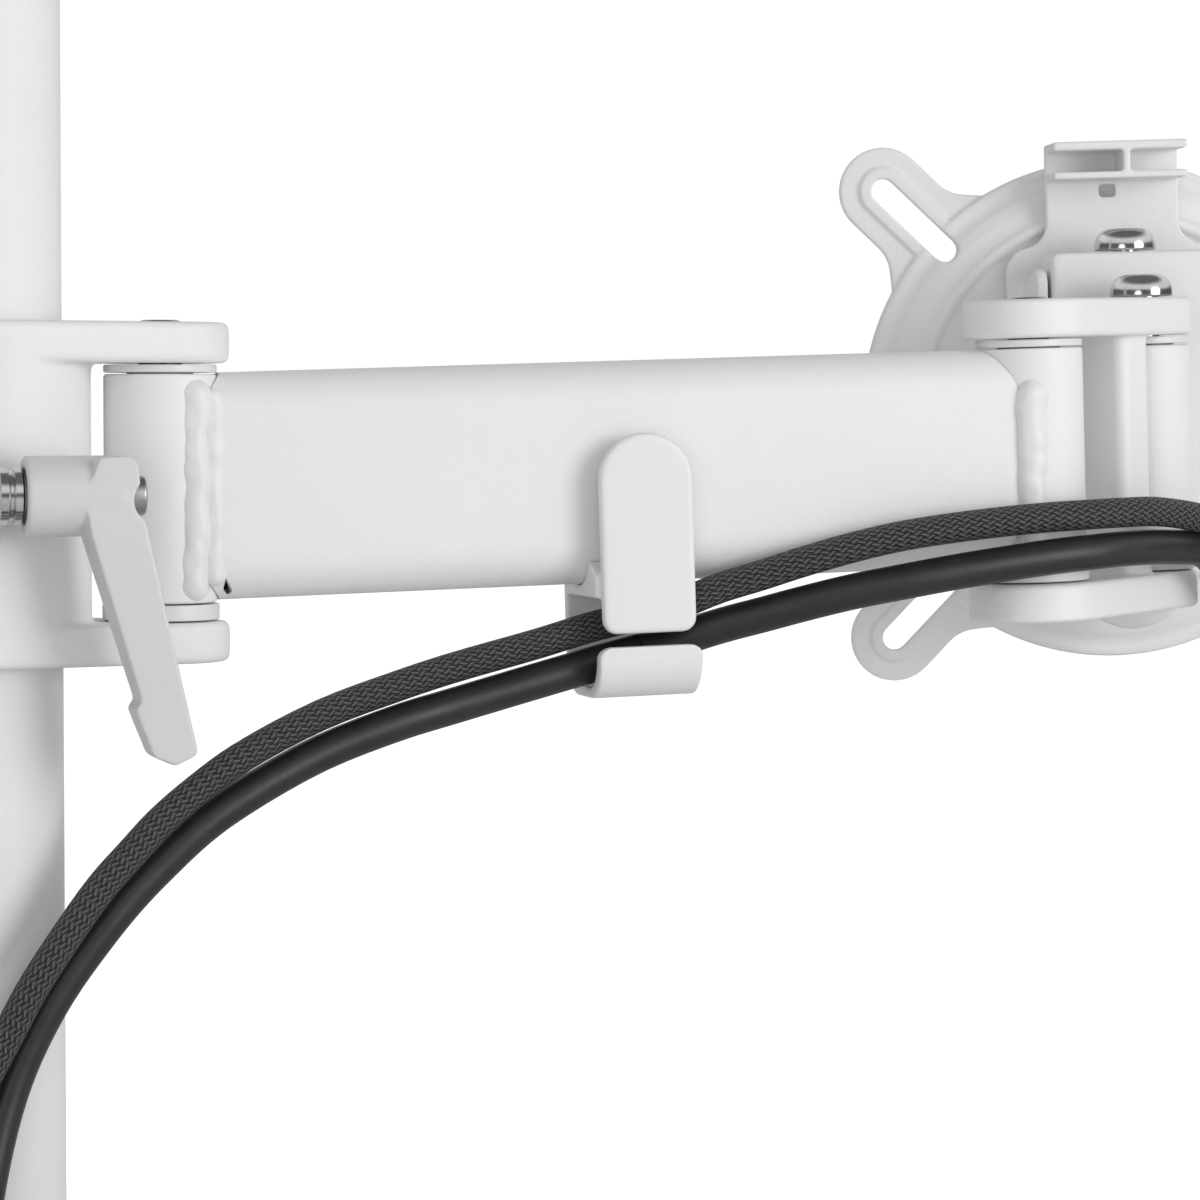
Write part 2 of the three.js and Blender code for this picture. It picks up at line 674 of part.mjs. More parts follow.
const padHeight = 3;
const tensionEnd = tiltAxisZ + axleRadius + 2 * gap + padHeight;
function headBlock() {
  let body = alongX(slab(blockOutline(), blockFront, blockBack, 14));
  body = body.add(ring(barrelRadius, shaftBore, bushBase, bushTop, 28));
  const neck = block(4, blockFront + 1, -neckHalfWidth, neckHalfWidth, -neckHalfHeight, neckHalfHeight);
  body = body.add(neck);
  body = body.subtract(rod(bushBore, -clevisHeight, clevisHeight, 28));
  const recess = alongX(rod(blockFootRadius - 2.2, blockFront - 1, blockFront + blockRecess, 32));
  const lowRecess = recess.translate([0, 0, blockFootCentre]);
  const keep = block(0, blockBack, -neckHalfWidth, neckHalfWidth, -neckHalfHeight, neckHalfHeight);
  body = body.subtract(lowRecess.subtract(keep));
  const axleHole = alongY(rod(axleRadius + running, -2 * blockHalfWidth, 2 * blockHalfWidth, 28));
  body = body.subtract(axleHole.translate([tensionAxisX, 0, tiltAxisZ]));
  const tap = rod(tensionRadius + gap, tiltAxisZ, blockTop + 1, 24).translate([tensionAxisX, 0, 0]);
  body = body.subtract(tap);
  const rearLean = new THREE.Shape();
  rearLean.moveTo(blockBack + 1, 0);
  rearLean.lineTo(blockBack + 1, -60);
  rearLean.lineTo(blockBack - 7, -60);
  rearLean.lineTo(blockBack - 4.5, blockFootCentre - blockFootRadius);
  rearLean.closePath();
  const wedge = slab(rearLean, -30, 30).rotate([90, 0, 0]);
  return body.subtract(wedge);
}
piece(headFrame, 'head_block', headBlock(), coat);

const tension = groupAt(headFrame, tensionAxisX, 0, 0);
const tensionShank = rod(tensionRadius, tensionEnd, blockTop + 1, 24);
const tensionDome = domeHead(headBoltRadius, headBoltDome).translate([0, 0, blockTop + gap]);
piece(tension, 'tension_bolt', tensionShank.add(tensionDome), chrome);
const padLow = tiltAxisZ + axleRadius + gap;
piece(tension, 'tension_pad', rod(tensionRadius - 0.2, padLow, padLow + padHeight, 20), nylon);

// ---------------------------------------------------------------- tilting bracket

const tilt = groupAt(headFrame, tensionAxisX, 0, tiltAxisZ);
const shieldX = shieldFront - tensionAxisX;
const cheekInner = blockHalfWidth + 0.9;
const cheekOuter = cheekInner + cheekThickness;

function shieldOutline() {
  const shape = new THREE.Shape();
  const bottomRadius = 8;
  shape.moveTo(shieldNeck, shieldTop);
  shape.lineTo(-shieldNeck, shieldTop);
  shape.lineTo(-shieldNeck, shieldShoulder + 16);
  shape.quadraticCurveTo(-shieldNeck, shieldShoulder + 9, -shieldNeck - 5, shieldShoulder + 5);
  shape.quadraticCurveTo(-shieldHalfWidth, shieldShoulder, -shieldHalfWidth, shieldShoulder - 8);
  shape.lineTo(-shieldHalfWidth, shieldBottom + bottomRadius);
  shape.quadraticCurveTo(-shieldHalfWidth, shieldBottom, -shieldHalfWidth + bottomRadius, shieldBottom);
  shape.lineTo(shieldHalfWidth - bottomRadius, shieldBottom);
  shape.quadraticCurveTo(shieldHalfWidth, shieldBottom, shieldHalfWidth, shieldBottom + bottomRadius);
  shape.lineTo(shieldHalfWidth, shieldShoulder - 8);
  shape.quadraticCurveTo(shieldHalfWidth, shieldShoulder, shieldNeck + 5, shieldShoulder + 5);
  shape.quadraticCurveTo(shieldNeck, shieldShoulder + 9, shieldNeck, shieldShoulder + 16);
  shape.closePath();
  return shape;
}

function tiltYoke() {
  let body = alongX(slab(shieldOutline(), shieldX, shieldX + shieldThickness, 6));
  const cheekFront = blockFront - tensionAxisX + 0.4;
  const cheekShape = new THREE.Shape();
  cheekShape.moveTo(cheekFront, cheekTop - tiltAxisZ - 4);
  cheekShape.quadraticCurveTo(cheekFront, cheekTop - tiltAxisZ, cheekFront + 4, cheekTop - tiltAxisZ);
  cheekShape.lineTo(shieldX + 1, cheekTop - tiltAxisZ - 6);
  cheekShape.lineTo(shieldX + 1, cheekBottom - tiltAxisZ);
  cheekShape.lineTo(cheekFront + 4, cheekBottom - tiltAxisZ);
  cheekShape.quadraticCurveTo(cheekFront, cheekBottom - tiltAxisZ, cheekFront, cheekBottom - tiltAxisZ + 4);
  cheekShape.closePath();
  for (const side of [-1, 1]) {
    const edge = side > 0 ? -cheekOuter : cheekInner;
    const cheek = slab(cheekShape, edge, edge + cheekThickness, 6).rotate([90, 0, 0]);
    body = body.add(cheek);
  }
  const shelfFront = shieldX - shelfDepth;
  const backX = shieldX + shieldThickness;
  const lipThickness = 1.5;
  const low = shieldTop - lipThickness;
  body = body.add(block(shelfFront, backX, -shieldNeck, shieldNeck, low, shieldTop));
  body = body.add(block(shelfFront, backX, -shieldNeck, shieldNeck, shieldTop + shelfHeight - 2, shieldTop + shelfHeight));
  body = body.add(block(shieldX, backX, -shieldNeck, shieldNeck, low, shieldTop + shelfHeight));
  body = body.add(block(shelfFront, backX, -2.2, -0.6, low, shieldTop + shelfHeight));
  const notch = block(shieldX - 1, backX + 1, -0.8, 3.1, shieldTop - 5.2, shieldTop - 2.4);
  const axleHole = alongY(rod(axleRadius + gap, -40, 40, 28));
  const pivotHole = alongX(rod(axleRadius + gap, shieldX - 1, backX + 1, 28));
  return body.subtract(notch).subtract(axleHole).subtract(pivotHole);
}
piece(tilt, 'tilt_yoke', tiltYoke(), coat);

const axleEnd = cheekOuter + 5;
piece(tilt, 'tilt_axle', alongY(rod(axleRadius, -axleEnd, axleEnd, 32)), steel);
for (const [name, side] of [['left', 1], ['right', -1]]) {
  const thin = ring(axleRadius + 4, axleRadius + running, blockHalfWidth + gap, cheekInner - gap, 28);
  const nut = slab(hexagon(nutRadius), cheekOuter + gap, cheekOuter + gap + 4);
  const bored = nut.subtract(rod(axleRadius + gap, 0, axleEnd + 5, 24));
  const turn = side > 0 ? [-90, 0, 0] : [90, 0, 0];
  piece(tilt, `tilt_washer_${name}`, thin.rotate(turn), nylon);
  piece(tilt, `tilt_nut_${name}`, bored.rotate(turn), steel);
}

// Plate pivot: a low head in front of the shield and a thin nut in the hollow of the plate.
const plateX = plateFront - tensionAxisX;
const monitorX = monitorFace - tensionAxisX;
const pivotHead = turned([[0, shieldX - 3.2], [7.5, shieldX - 2.4], [7.5, shieldX - gap], [0, shieldX - gap]], 32);
const pivotShank = rod(axleRadius, shieldX - 1, monitorX - 1, 28);
piece(tilt, 'plate_pivot', alongX(pivotHead.add(pivotShank)), steel);
const pivotNutLow = plateX + plateSheet + gap;
const plateNut = slab(hexagon(nutRadius), pivotNutLow, pivotNutLow + 3.6);
piece(tilt, 'plate_pivot_nut', alongX(plateNut.subtract(rod(axleRadius + gap, 0, monitorX + 5, 24))), steel);
const discLow = shieldX + shieldThickness + gap;
piece(tilt, 'friction_disc', alongX(ring(18, axleRadius + gap, discLow, plateX - gap, 28)), nylon);

// ---------------------------------------------------------------- monitor plate

function monitorPlate() {
  const sheet = plateSheet;
  const rise = monitorX - plateX - sheet;
  const hole = axleRadius + running;
  const front = [
    [hole, 0], [44, 0], [45.5, -0.7], [47, 0.2], [53, 2.4], [56.2, rise - 0.6], [dishRadius, rise],
  ];
  const profile = front.concat([
    [dishRadius, rise + sheet], [54.4, rise + sheet], [52, 4.4], [47, 2.3], [hole, sheet], [hole, 0],
  ]);
  let body = alongX(turned(profile.map(([r, x]) => [r, x + plateX]), 28));
  const slotLength = (slotOuter - slotInner) * Math.SQRT2;
  const slotStart = slotInner * Math.SQRT2;
  for (let i = 0; i < plateCount; i += 1) {
    const tabReach = slotStart + slotLength;
    const tab = new THREE.Shape();
    tab.absarc(tabReach, 0, armTabRadius, -quarter, quarter, false);
    tab.lineTo(dishRadius - 6, armTabRadius + 3.5);
    tab.lineTo(dishRadius - 6, -armTabRadius - 3.5);
    tab.closePath();
    const slot = new THREE.Shape();
    slot.absarc(tabReach, 0, slotRadius, -quarter, quarter, false);
    slot.absarc(slotStart, 0, slotRadius, quarter, 3 * quarter, false);
    slot.closePath();
    const turn = 45 + i * 90;
    const limb = slab(tab, monitorX - sheet, monitorX, 10).rotate([0, 0, turn]);
    const cut = slab(slot, plateX - 2, monitorX + 2, 6).rotate([0, 0, turn]);
    body = body.add(alongX(limb)).subtract(alongX(cut));
  }
  return body;
}
piece(tilt, 'monitor_plate', monitorPlate(), coat);

// ---------------------------------------------------------------- cables

// Both leads run from the clip to a coil on the desk on one side, and over the knuckle on the other.
const rubberCoil = [31.4, -100];
const braidCoil = [-118, -12];

const braidDesk = [
  [137, -6, 188.9], [127, -5.5, 186.5], [116, -6, 183.4], [96.4, -8, 178.5], [85.4, -10, 175.4],
  [68, -13.5, 169.8], [50.8, -18, 161.9], [42.3, -20.4, 156.5], [33.8, -22.6, 150], [27.5, -24.4, 143.9],
  [21.2, -26, 137.5], [13, -28, 126.9], [6.8, -29, 117.8], [1.5, -29.5, 108.2], [-5, -30.5, 97],
  [-14, -31.5, 83], [-25, -32.5, 67], [-37, -34, 50], [-51, -37, 33], [-67, -42, 17.5], [-84, -48, 7.5],
  [-100, -52.5, 3.6],
];
const rubberDesk = [
  [137, -5.1, 181.2], [127, -5, 178.5], [116, -6, 175.7], [96.3, -8, 170.6], [85.3, -10, 167.8],
  [68, -12.5, 161.9], [50.7, -16, 153.3], [42.2, -17.6, 147.8], [33.8, -19, 140.6], [27.5, -20.2, 134.6],
  [21.2, -21.4, 127.5], [12.9, -22.6, 116.6], [6.3, -23.4, 104.9], [2, -24.5, 94], [-2, -27.5, 79],
  [-5, -32.5, 62], [-8, -40, 45], [-11, -48, 29], [-15, -60, 15], [-19, -76, 6.5], [-20.8, -92, 4],
];
const braidHead = [
  [138, -6, 188.9], [142.5, -7.6, 189.7], [148, -9.4, 192.3], [154, -10.6, 194.7], [162, -12.5, 197.2],
  [170, -14, 199.8], [181, -15.3, 202.9], [192, -16, 205.3], [203, -16.3, 206.9], [214, -16.3, 208.1],
  [225, -15.8, 209], [235, -14.6, 209.5], [243, -12.6, 209.8], [251, -9.3, 209.9], [258, -5.8, 209.3],
  [265.5, -1.6, 208.1], [272.5, 0.3, 206], [279, 0.8, 202], [285, 1.2, 195], [289, 1.6, 185.5],
  [291, 2, 172], [291.5, 2, 157], [291.5, 2, 142],
];
const rubberHead = [
  [138, -5.1, 181.1], [142.5, -5.2, 181.9], [148, -5.8, 184.3], [155, -7.5, 186.6], [163, -9.8, 188.8],
  [171, -12.6, 191.1], [181, -15, 193.6], [192, -16.6, 195.7], [203, -17.3, 197.6], [214, -17.4, 199.2],
  [225, -16.8, 200.6], [235, -15, 201.5], [243, -12.2, 202], [251, -8.2, 202.2], [258, -3.6, 202],
  [263.2, 0.4, 201.8], [268.3, 4.6, 201.2], [274, 9, 198], [280, 13, 192], [285.5, 16.5, 183],
  [289.5, 19.5, 171], [291.5, 21.5, 157], [292, 22, 142],
];

const cables = groupAt(root, 0, 0, 0);
piece(cables, 'video_lead_desk', lead(braidDesk, braidRadius), sleeve);
piece(cables, 'power_lead_desk', lead(rubberDesk, rubberRadius), rubber);
piece(cables, 'video_lead_head', lead(braidHead, braidRadius), sleeve);
piece(cables, 'power_lead_head', lead(rubberHead, rubberRadius), rubber);

// Outer shape of a coil: coilTurnsPerLayer turns side by side in coilLayers layers.
function coilBody(meanRadius, wireRadius) {
  const across = coilTurnsPerLayer * wireRadius;
  const [inner, outer] = [meanRadius - across, meanRadius + across];
  const high = 2 * coilLayers * wireRadius;
  return ring(outer, inner, 0.02, high, 28);
}
piece(groupAt(root, ...rubberCoil, 0), 'power_coil', coilBody(rubberCoilRadius, rubberRadius), rubber);
piece(groupAt(root, ...braidCoil, 0), 'video_coil', coilBody(braidCoilRadius, braidRadius), sleeve);

// Plugs lie on the desk beside their coils; sockets hang from the short ends.
// Each carries a strain relief with a short stub of its own lead.
function strainRelief(wireRadius, start, length, stub) {
  return turned([
    [0, -length - stub], [wireRadius, -length - stub], [wireRadius, -length],
    [wireRadius + 0.5, -length], [start, 0.5], [0, 0.5],
  ], 20);
}

function videoPlug(stub) {
  const body = slab(roundedBox(20, 11, 3), 0, 26, 5);
  const tongue = slab(roundedBox(15.5, 5, 1), 25.5, 38, 3);
  return body.add(tongue).add(strainRelief(braidRadius, 4.6, reliefLength, stub));
}

function mainsPlug(stub) {
  let body = slab(roundedBox(26, 22, 6), 0, 30, 5);
  body = body.add(strainRelief(rubberRadius, 6.6, reliefLength, stub));
  for (const side of [-1, 1]) {
    body = body.add(rod(2, 29, 48, 16).translate([side * 6.5, 0, 0]));
  }
  return body;
}

function applianceSocket(stub) {
  let body = slab(roundedBox(24, 16, 3.5), 0, 30, 5);
  body = body.add(strainRelief(rubberRadius, 6.2, reliefLength, stub));
  for (const x of [-7, 0, 7]) {
    body = body.subtract(block(x - 1.2, x + 1.2, -2.4, 2.4, 22, 31));
  }
  return body;
}

// A plug on the desk lies along +Y, tangent to its coil; a socket hangs straight down.
function laid(x, y, z) {
  const group = groupAt(root, x, y, z);
  group.rotation.x = -quarter;
  return group;
}

function hung([x, y, z]) {
  const group = groupAt(root, x, y, z - gap - reliefLength);
  group.rotation.x = Math.PI;
  return group;
}

const videoPlugX = braidCoil[0] - braidCoilRadius - braidRadius;
const mainsPlugX = rubberCoil[0] + rubberCoilRadius + rubberRadius;
const videoPlugY = braidCoil[1] + videoPlugReach;
const mainsPlugY = rubberCoil[1] + mainsPlugReach;
piece(laid(videoPlugX, videoPlugY, videoPlugRest), 'video_plug', videoPlug(stubLength), rubber);
piece(laid(mainsPlugX, mainsPlugY, mainsPlugRest), 'mains_plug', mainsPlug(stubLength), rubber);
piece(hung(braidHead.at(-1)), 'video_connector', videoPlug(0), rubber);
piece(hung(rubberHead.at(-1)), 'power_connector', applianceSocket(0), rubber);

export default root;
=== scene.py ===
"""A white monitor arm on a pole, with the two dark leads it carries."""
import json
import math

import bmesh
import bpy
from mathutils import Matrix, Vector, noise


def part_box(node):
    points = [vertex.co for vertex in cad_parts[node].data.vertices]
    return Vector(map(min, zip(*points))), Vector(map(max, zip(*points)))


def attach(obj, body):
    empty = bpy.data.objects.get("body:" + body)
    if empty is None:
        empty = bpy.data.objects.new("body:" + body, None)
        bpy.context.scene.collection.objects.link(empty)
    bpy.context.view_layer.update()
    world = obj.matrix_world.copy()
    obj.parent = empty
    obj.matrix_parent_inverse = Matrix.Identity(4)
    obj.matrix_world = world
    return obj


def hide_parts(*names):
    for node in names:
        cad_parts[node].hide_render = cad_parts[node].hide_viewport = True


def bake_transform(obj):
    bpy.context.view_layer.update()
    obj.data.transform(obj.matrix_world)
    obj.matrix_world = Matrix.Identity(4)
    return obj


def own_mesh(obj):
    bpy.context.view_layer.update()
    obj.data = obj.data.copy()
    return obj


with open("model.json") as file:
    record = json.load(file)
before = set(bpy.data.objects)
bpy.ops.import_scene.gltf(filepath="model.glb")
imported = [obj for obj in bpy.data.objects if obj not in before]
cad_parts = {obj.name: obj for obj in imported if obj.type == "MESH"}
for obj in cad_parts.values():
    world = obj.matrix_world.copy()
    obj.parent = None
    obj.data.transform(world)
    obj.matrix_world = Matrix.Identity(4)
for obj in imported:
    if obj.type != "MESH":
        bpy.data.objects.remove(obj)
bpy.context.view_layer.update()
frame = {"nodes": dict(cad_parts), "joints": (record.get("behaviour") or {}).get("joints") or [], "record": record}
JOINTS = {joint["name"]: joint for joint in frame["joints"]}
MM = 0.001

# ---------------------------------------------------------------- maker's sizes, in millimetres

GAP = 0.3

POLE_RADIUS = 17.5
POLE_TOP = 395.0
POLE_FOOT = 10.4
BASE_RADIUS = 55.0

CLEVIS_HEIGHT = 69.0
HALF_CLEVIS = CLEVIS_HEIGHT / 2
LUG_THICKNESS = 8.3
RING_RADIUS = 23.3
RING_BORE = 20.3
LUG_RADIUS = 14.0
PIN_OFFSET = 37.7
PIN_RADIUS = 4.4

BUSH_RADIUS = 11.5
BUSH_LOW = -22.4
BUSH_HIGH = 24.0
TOP_FLANGE = 1.6
BOTTOM_FLANGE = 3.2

ARM_LENGTH = 189.2
TUBE_HEIGHT = BUSH_HIGH - BUSH_LOW
TUBE_MIDDLE = (BUSH_HIGH + BUSH_LOW) / 2
TUBE_THICKNESS = 20.0

CLIP_FROM_PIN = 98.4
KNUCKLE_LENGTH = 46.2
KNUCKLE_TIP = 11.0
BARREL_RADIUS = 10.5

BOLT_HOLE = 4.3      # clearance round an 8 mm stud, bolt or axle
NUT_RADIUS = 7.5
DOME_RADIUS = 7.0
DOME_HEIGHT = 5.0
THROUGH = 50         # a cut from -THROUGH to THROUGH passes right through a casting

# ---------------------------------------------------------------- places, from the frame's joints


def joint_point(name):
    return Vector(JOINTS[name]["pos_m"])


def joint_axis(name):
    return Vector(JOINTS[name]["axis"]).normalized()


def place(origin, along, up):
    """The matrix that takes a piece from its maker's millimetres to the row frame."""
    z = up.normalized()
    x = (along - z * along.dot(z)).normalized()
    y = z.cross(x)
    turn = Matrix((x, y, z)).transposed().to_4x4()
    return Matrix.Translation(origin) @ turn @ Matrix.Scale(MM, 4)


UP = Vector((0, 0, 1))
ALONG = Vector((1, 0, 0))
ARM_DIRECTION = joint_point("elbow") - joint_point("arm_swing")
KNUCKLE_DIRECTION = joint_point("head_pan") - joint_point("elbow")
HEAD_DIRECTION = joint_axis("plate_rotate")
STAND = Matrix.Scale(MM, 4)
COLLAR = place(joint_point("collar_turn"), ALONG, UP)
CLAMP_POINT = Vector((0, joint_point("lever_turn").y, joint_point("lever_turn").z))
CLAMP = place(CLAMP_POINT, ALONG, UP)
SHOULDER = place(joint_point("arm_swing"), ALONG, UP)
ARM = place(joint_point("arm_swing"), ARM_DIRECTION, joint_axis("elbow"))
ELBOW = place(joint_point("elbow"), ARM_DIRECTION, joint_axis("elbow"))
KNUCKLE = place(joint_point("elbow"), KNUCKLE_DIRECTION, joint_axis("elbow"))
HEAD_PIVOT = place(joint_point("head_pan"), KNUCKLE_DIRECTION, joint_axis("elbow"))
HEAD = place(joint_point("head_pan"), HEAD_DIRECTION, joint_axis("head_pan"))
TILT = place(joint_point("head_tilt"), HEAD_DIRECTION, joint_axis("head_pan"))
CLIP = ARM @ Matrix.Translation((CLIP_FROM_PIN, 0, 0))

# a shape drawn in X and Y and raised along Z, stood up so that it is raised along X or Y
RAISED_ALONG_X = Matrix(((0, 0, 1, 0), (1, 0, 0, 0), (0, 1, 0, 0), (0, 0, 0, 1)))
RAISED_ALONG_Y = Matrix(((1, 0, 0, 0), (0, 0, -1, 0), (0, 1, 0, 0), (0, 0, 0, 1)))
Y_AND_Z_SWAPPED = Matrix(((1, 0, 0, 0), (0, 0, 1, 0), (0, 1, 0, 0), (0, 0, 0, 1)))

# ---------------------------------------------------------------- outlines


def eased(points, radius, steps=6, closed=True):
    """The same outline with its corners rounded. radius is one value, or one for each corner."""
    count = len(points)
    radii = [radius] * count if isinstance(radius, (int, float)) else radius
    outline = []
    for i, point in enumerate(points):
        corner = Vector(point)
        if radii[i] <= 0 or (not closed and i in (0, count - 1)):
            outline.append(tuple(corner))
            continue
        before = Vector(points[i - 1]) - corner
        after = Vector(points[(i + 1) % count]) - corner
        u, v = before.normalized(), after.normalized()
        half = math.acos(max(-1, min(1, u.dot(v)))) / 2
        if half > math.pi / 2 - 0.02:
            outline.append(tuple(corner))
            continue
        reach = min(radii[i] / math.tan(half), 0.49 * before.length, 0.49 * after.length)
        true_radius = reach * math.tan(half)
        centre = corner + (u + v).normalized() * (true_radius / math.sin(half))
        start = corner + u * reach - centre
        end = corner + v * reach - centre
        sweep = start.angle_signed(end)
        for k in range(steps + 1):
            arm = start.copy()
            arm.rotate(Matrix.Rotation(-sweep * k / steps, 2))
            outline.append(tuple(centre + arm))
    return outline


def arc(cx, cy, radius, start, end, steps=24):
    """Points from one angle to another, in degrees."""
    angles = [math.radians(start + (end - start) * k / steps) for k in range(steps + 1)]
    return [(cx + radius * math.cos(a), cy + radius * math.sin(a)) for a in angles]


def strap(radius_a, radius_b, distance, steps=40):
    """The outline round two circles on the X axis."""
    lean = math.degrees(math.acos((radius_a - radius_b) / distance))
    return arc(0, 0, radius_a, lean, 360 - lean, steps) + arc(distance, 0, radius_b, -lean, lean, steps)


def hexagon(radius):
    return arc(0, 0, radius, 0, 360, 6)[:-1]


def box_outline(x0, x1, y0, y1):
    return [(x0, y0), (x1, y0), (x1, y1), (x0, y1)]


# ---------------------------------------------------------------- solids


def prism(outline, low, high, edge=0.0, steps=3, turn=None):
    """An outline raised from low to high, with its rims eased."""
    bm = bmesh.new()
    floor = bm.faces.new([bm.verts.new((x, y, low)) for x, y in outline])
    walls = bmesh.ops.extrude_face_region(bm, geom=[floor])
    top = [part for part in walls["geom"] if isinstance(part, bmesh.types.BMVert)]
    bmesh.ops.translate(bm, vec=(0, 0, high - low), verts=top)
    if edge:
        rims = [e for e in bm.edges if abs(e.verts[0].co.z - e.verts[1].co.z) < 1e-6]
        bmesh.ops.bevel(bm, geom=rims, offset=edge, offset_type="OFFSET", segments=steps, profile=0.5,
                        affect="EDGES", clamp_overlap=True, material=-1)
    bmesh.ops.recalc_face_normals(bm, faces=bm.faces)
    if turn:
        bmesh.ops.transform(bm, matrix=turn, verts=bm.verts)
    return bm


def turned(profile, steps=96, turn=None):
    """A profile of (radius, height) points turned about Z. It closes on itself, or on the axis."""
    bm = bmesh.new()
    closed = profile[0] == profile[-1]
    corners = [bm.verts.new((r, 0, z)) for r, z in (profile[:-1] if closed else profile)]
    pairs = list(zip(corners, corners[1:] + corners[:1])) if closed else list(zip(corners, corners[1:]))
    edges = [bm.edges.new(pair) for pair in pairs]
    bmesh.ops.spin(bm, geom=corners + edges, cent=(0, 0, 0), axis=(0, 0, 1), angle=2 * math.pi,
                   steps=steps, use_merge=True)
    bmesh.ops.remove_doubles(bm, verts=bm.verts, dist=1e-4)
    bmesh.ops.recalc_face_normals(bm, faces=bm.faces)
    if turn:
        bmesh.ops.transform(bm, matrix=turn, verts=bm.verts)
    return bm


def rod(radius, low, high, edge=0.4, steps=64, turn=None):
    outline = [(0, low), (radius, low), (radius, high), (0, high)]
    return turned(eased(outline, edge, 3, closed=False), steps, turn)


def ring(outer, inner, low, high, edge=0.4, steps=96, turn=None):
    outline = eased([(inner, low), (outer, low), (outer, high), (inner, high)], edge, 3)
    return turned(outline + outline[:1], steps, turn)


def block(x0, x1, y0, y1, z0, z1, edge=0.0, turn=None):
    return prism(box_outline(x0, x1, y0, y1), z0, z1, edge, 3, turn)


def shape_object(bm, name="shape"):
    mesh = bpy.data.meshes.new(name)
    bm.to_mesh(mesh)
    bm.free()
    shape = bpy.data.objects.new(name, mesh)
    bpy.context.scene.collection.objects.link(shape)
    return shape


def settle(shape):
    """Applies the modifiers on a shape."""
    graph = bpy.context.evaluated_depsgraph_get()
    mesh = bpy.data.meshes.new_from_object(shape.evaluated_get(graph))
    shape.modifiers.clear()
    old = shape.data
    shape.data = mesh
    bpy.data.meshes.remove(old)


def combine(shape, other_bm, operation):
    other = shape_object(other_bm, "tool")
    modifier = shape.modifiers.new(operation, "BOOLEAN")
    modifier.operation = operation
    modifier.object = other
    modifier.solver = "MANIFOLD"
    settle(shape)
    bpy.data.objects.remove(other)


def fused(name, parts, cuts=(), voxel=0.0, rounds=0, keep=1.0):
    """Joins parts, takes cuts away, and can melt the result into one soft-edged casting."""
    shape = shape_object(parts[0], name)
    for part in parts[1:]:
        combine(shape, part, "UNION")
    for cut in cuts:
        combine(shape, cut, "DIFFERENCE")
    if voxel:
        melt(shape, voxel, rounds, keep)
    return shape


def melt(shape, voxel, rounds, keep):
    """Turns a shape with hard inner corners into one soft-edged casting."""
    remesh = shape.modifiers.new("melt", "REMESH")
    remesh.mode = "VOXEL"
    remesh.voxel_size = voxel
    smooth = shape.modifiers.new("ease", "SMOOTH")
    smooth.factor = 0.5
    smooth.iterations = rounds
    if keep < 1:
        thin = shape.modifiers.new("thin", "DECIMATE")
        thin.ratio = keep
    settle(shape)


def fit_out(piece, where, material, body, replaced=(), sharp=35.0):
    """Puts a finished shape in its place in the row frame and gives it its finish and its body."""
    piece.data.transform(where)
    mesh = piece.data
    mesh.materials.clear()
    mesh.materials.append(material)
    for face in mesh.polygons:
        face.use_smooth = True
        face.material_index = 0
    if sharp:
        mesh.set_sharp_from_angle(angle=math.radians(sharp))
    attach(piece, body)
    if replaced:
        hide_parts(*replaced)
    return piece


def made(name, bm, where, material, body, replaced=(), sharp=35.0):
    return fit_out(shape_object(bm, name), where, material, body, replaced, sharp)


# ---------------------------------------------------------------- finishes


def new_group(name, inputs, outputs):
    group = bpy.data.node_groups.new(name, "ShaderNodeTree")
    for socket, value in inputs:
        made_socket = group.interface.new_socket(socket, in_out="INPUT", socket_type="NodeSocketFloat")
        made_socket.default_value = value
    for socket in outputs:
        group.interface.new_socket(socket, in_out="OUTPUT", socket_type="NodeSocketFloat")
    return group, group.nodes.new("NodeGroupInput"), group.nodes.new("NodeGroupOutput")


def math_node(tree, operation, first, second=None, third=None):
    node = tree.nodes.new("ShaderNodeMath")
    node.operation = operation
    for i, value in enumerate((first, second, third)):
        if value is None:
            continue
        if isinstance(value, (int, float)):
            node.inputs[i].default_value = value
        else:
            tree.links.new(value, node.inputs[i])
    return node.outputs[0]


def noise_node(tree, vector, scale, detail=2.0, roughness=0.5):
    node = tree.nodes.new("ShaderNodeTexNoise")
    node.inputs["Detail"].default_value = detail
    node.inputs["Roughness"].default_value = roughness
    if isinstance(scale, (int, float)):
        node.inputs["Scale"].default_value = scale
    else:
        tree.links.new(scale, node.inputs["Scale"])
    tree.links.new(vector, node.inputs["Vector"])
    return node.outputs["Fac"]


def grain_group():
    """Fine surface grain: a height, and a slow mottle for colour and roughness."""
    group, given, result = new_group("surface_grain", [("Grain size mm", 0.6), ("Mottle size mm", 30.0)],
                                     ["Height", "Mottle"])
    where = group.nodes.new("ShaderNodeTexCoord").outputs["Object"]
    fine_scale = math_node(group, "DIVIDE", 1000.0, given.outputs["Grain size mm"])
    slow_scale = math_node(group, "DIVIDE", 1000.0, given.outputs["Mottle size mm"])
    fine = noise_node(group, where, fine_scale, 3.0, 0.55)
    coarse = noise_node(group, where, math_node(group, "MULTIPLY", fine_scale, 0.35), 1.0)
    height = math_node(group, "ADD", math_node(group, "MULTIPLY", fine, 0.6),
                       math_node(group, "MULTIPLY", coarse, 0.4))
    group.links.new(height, result.inputs["Height"])
    group.links.new(noise_node(group, where, slow_scale, 2.0), result.inputs["Mottle"])
    return group


GRAIN = grain_group()


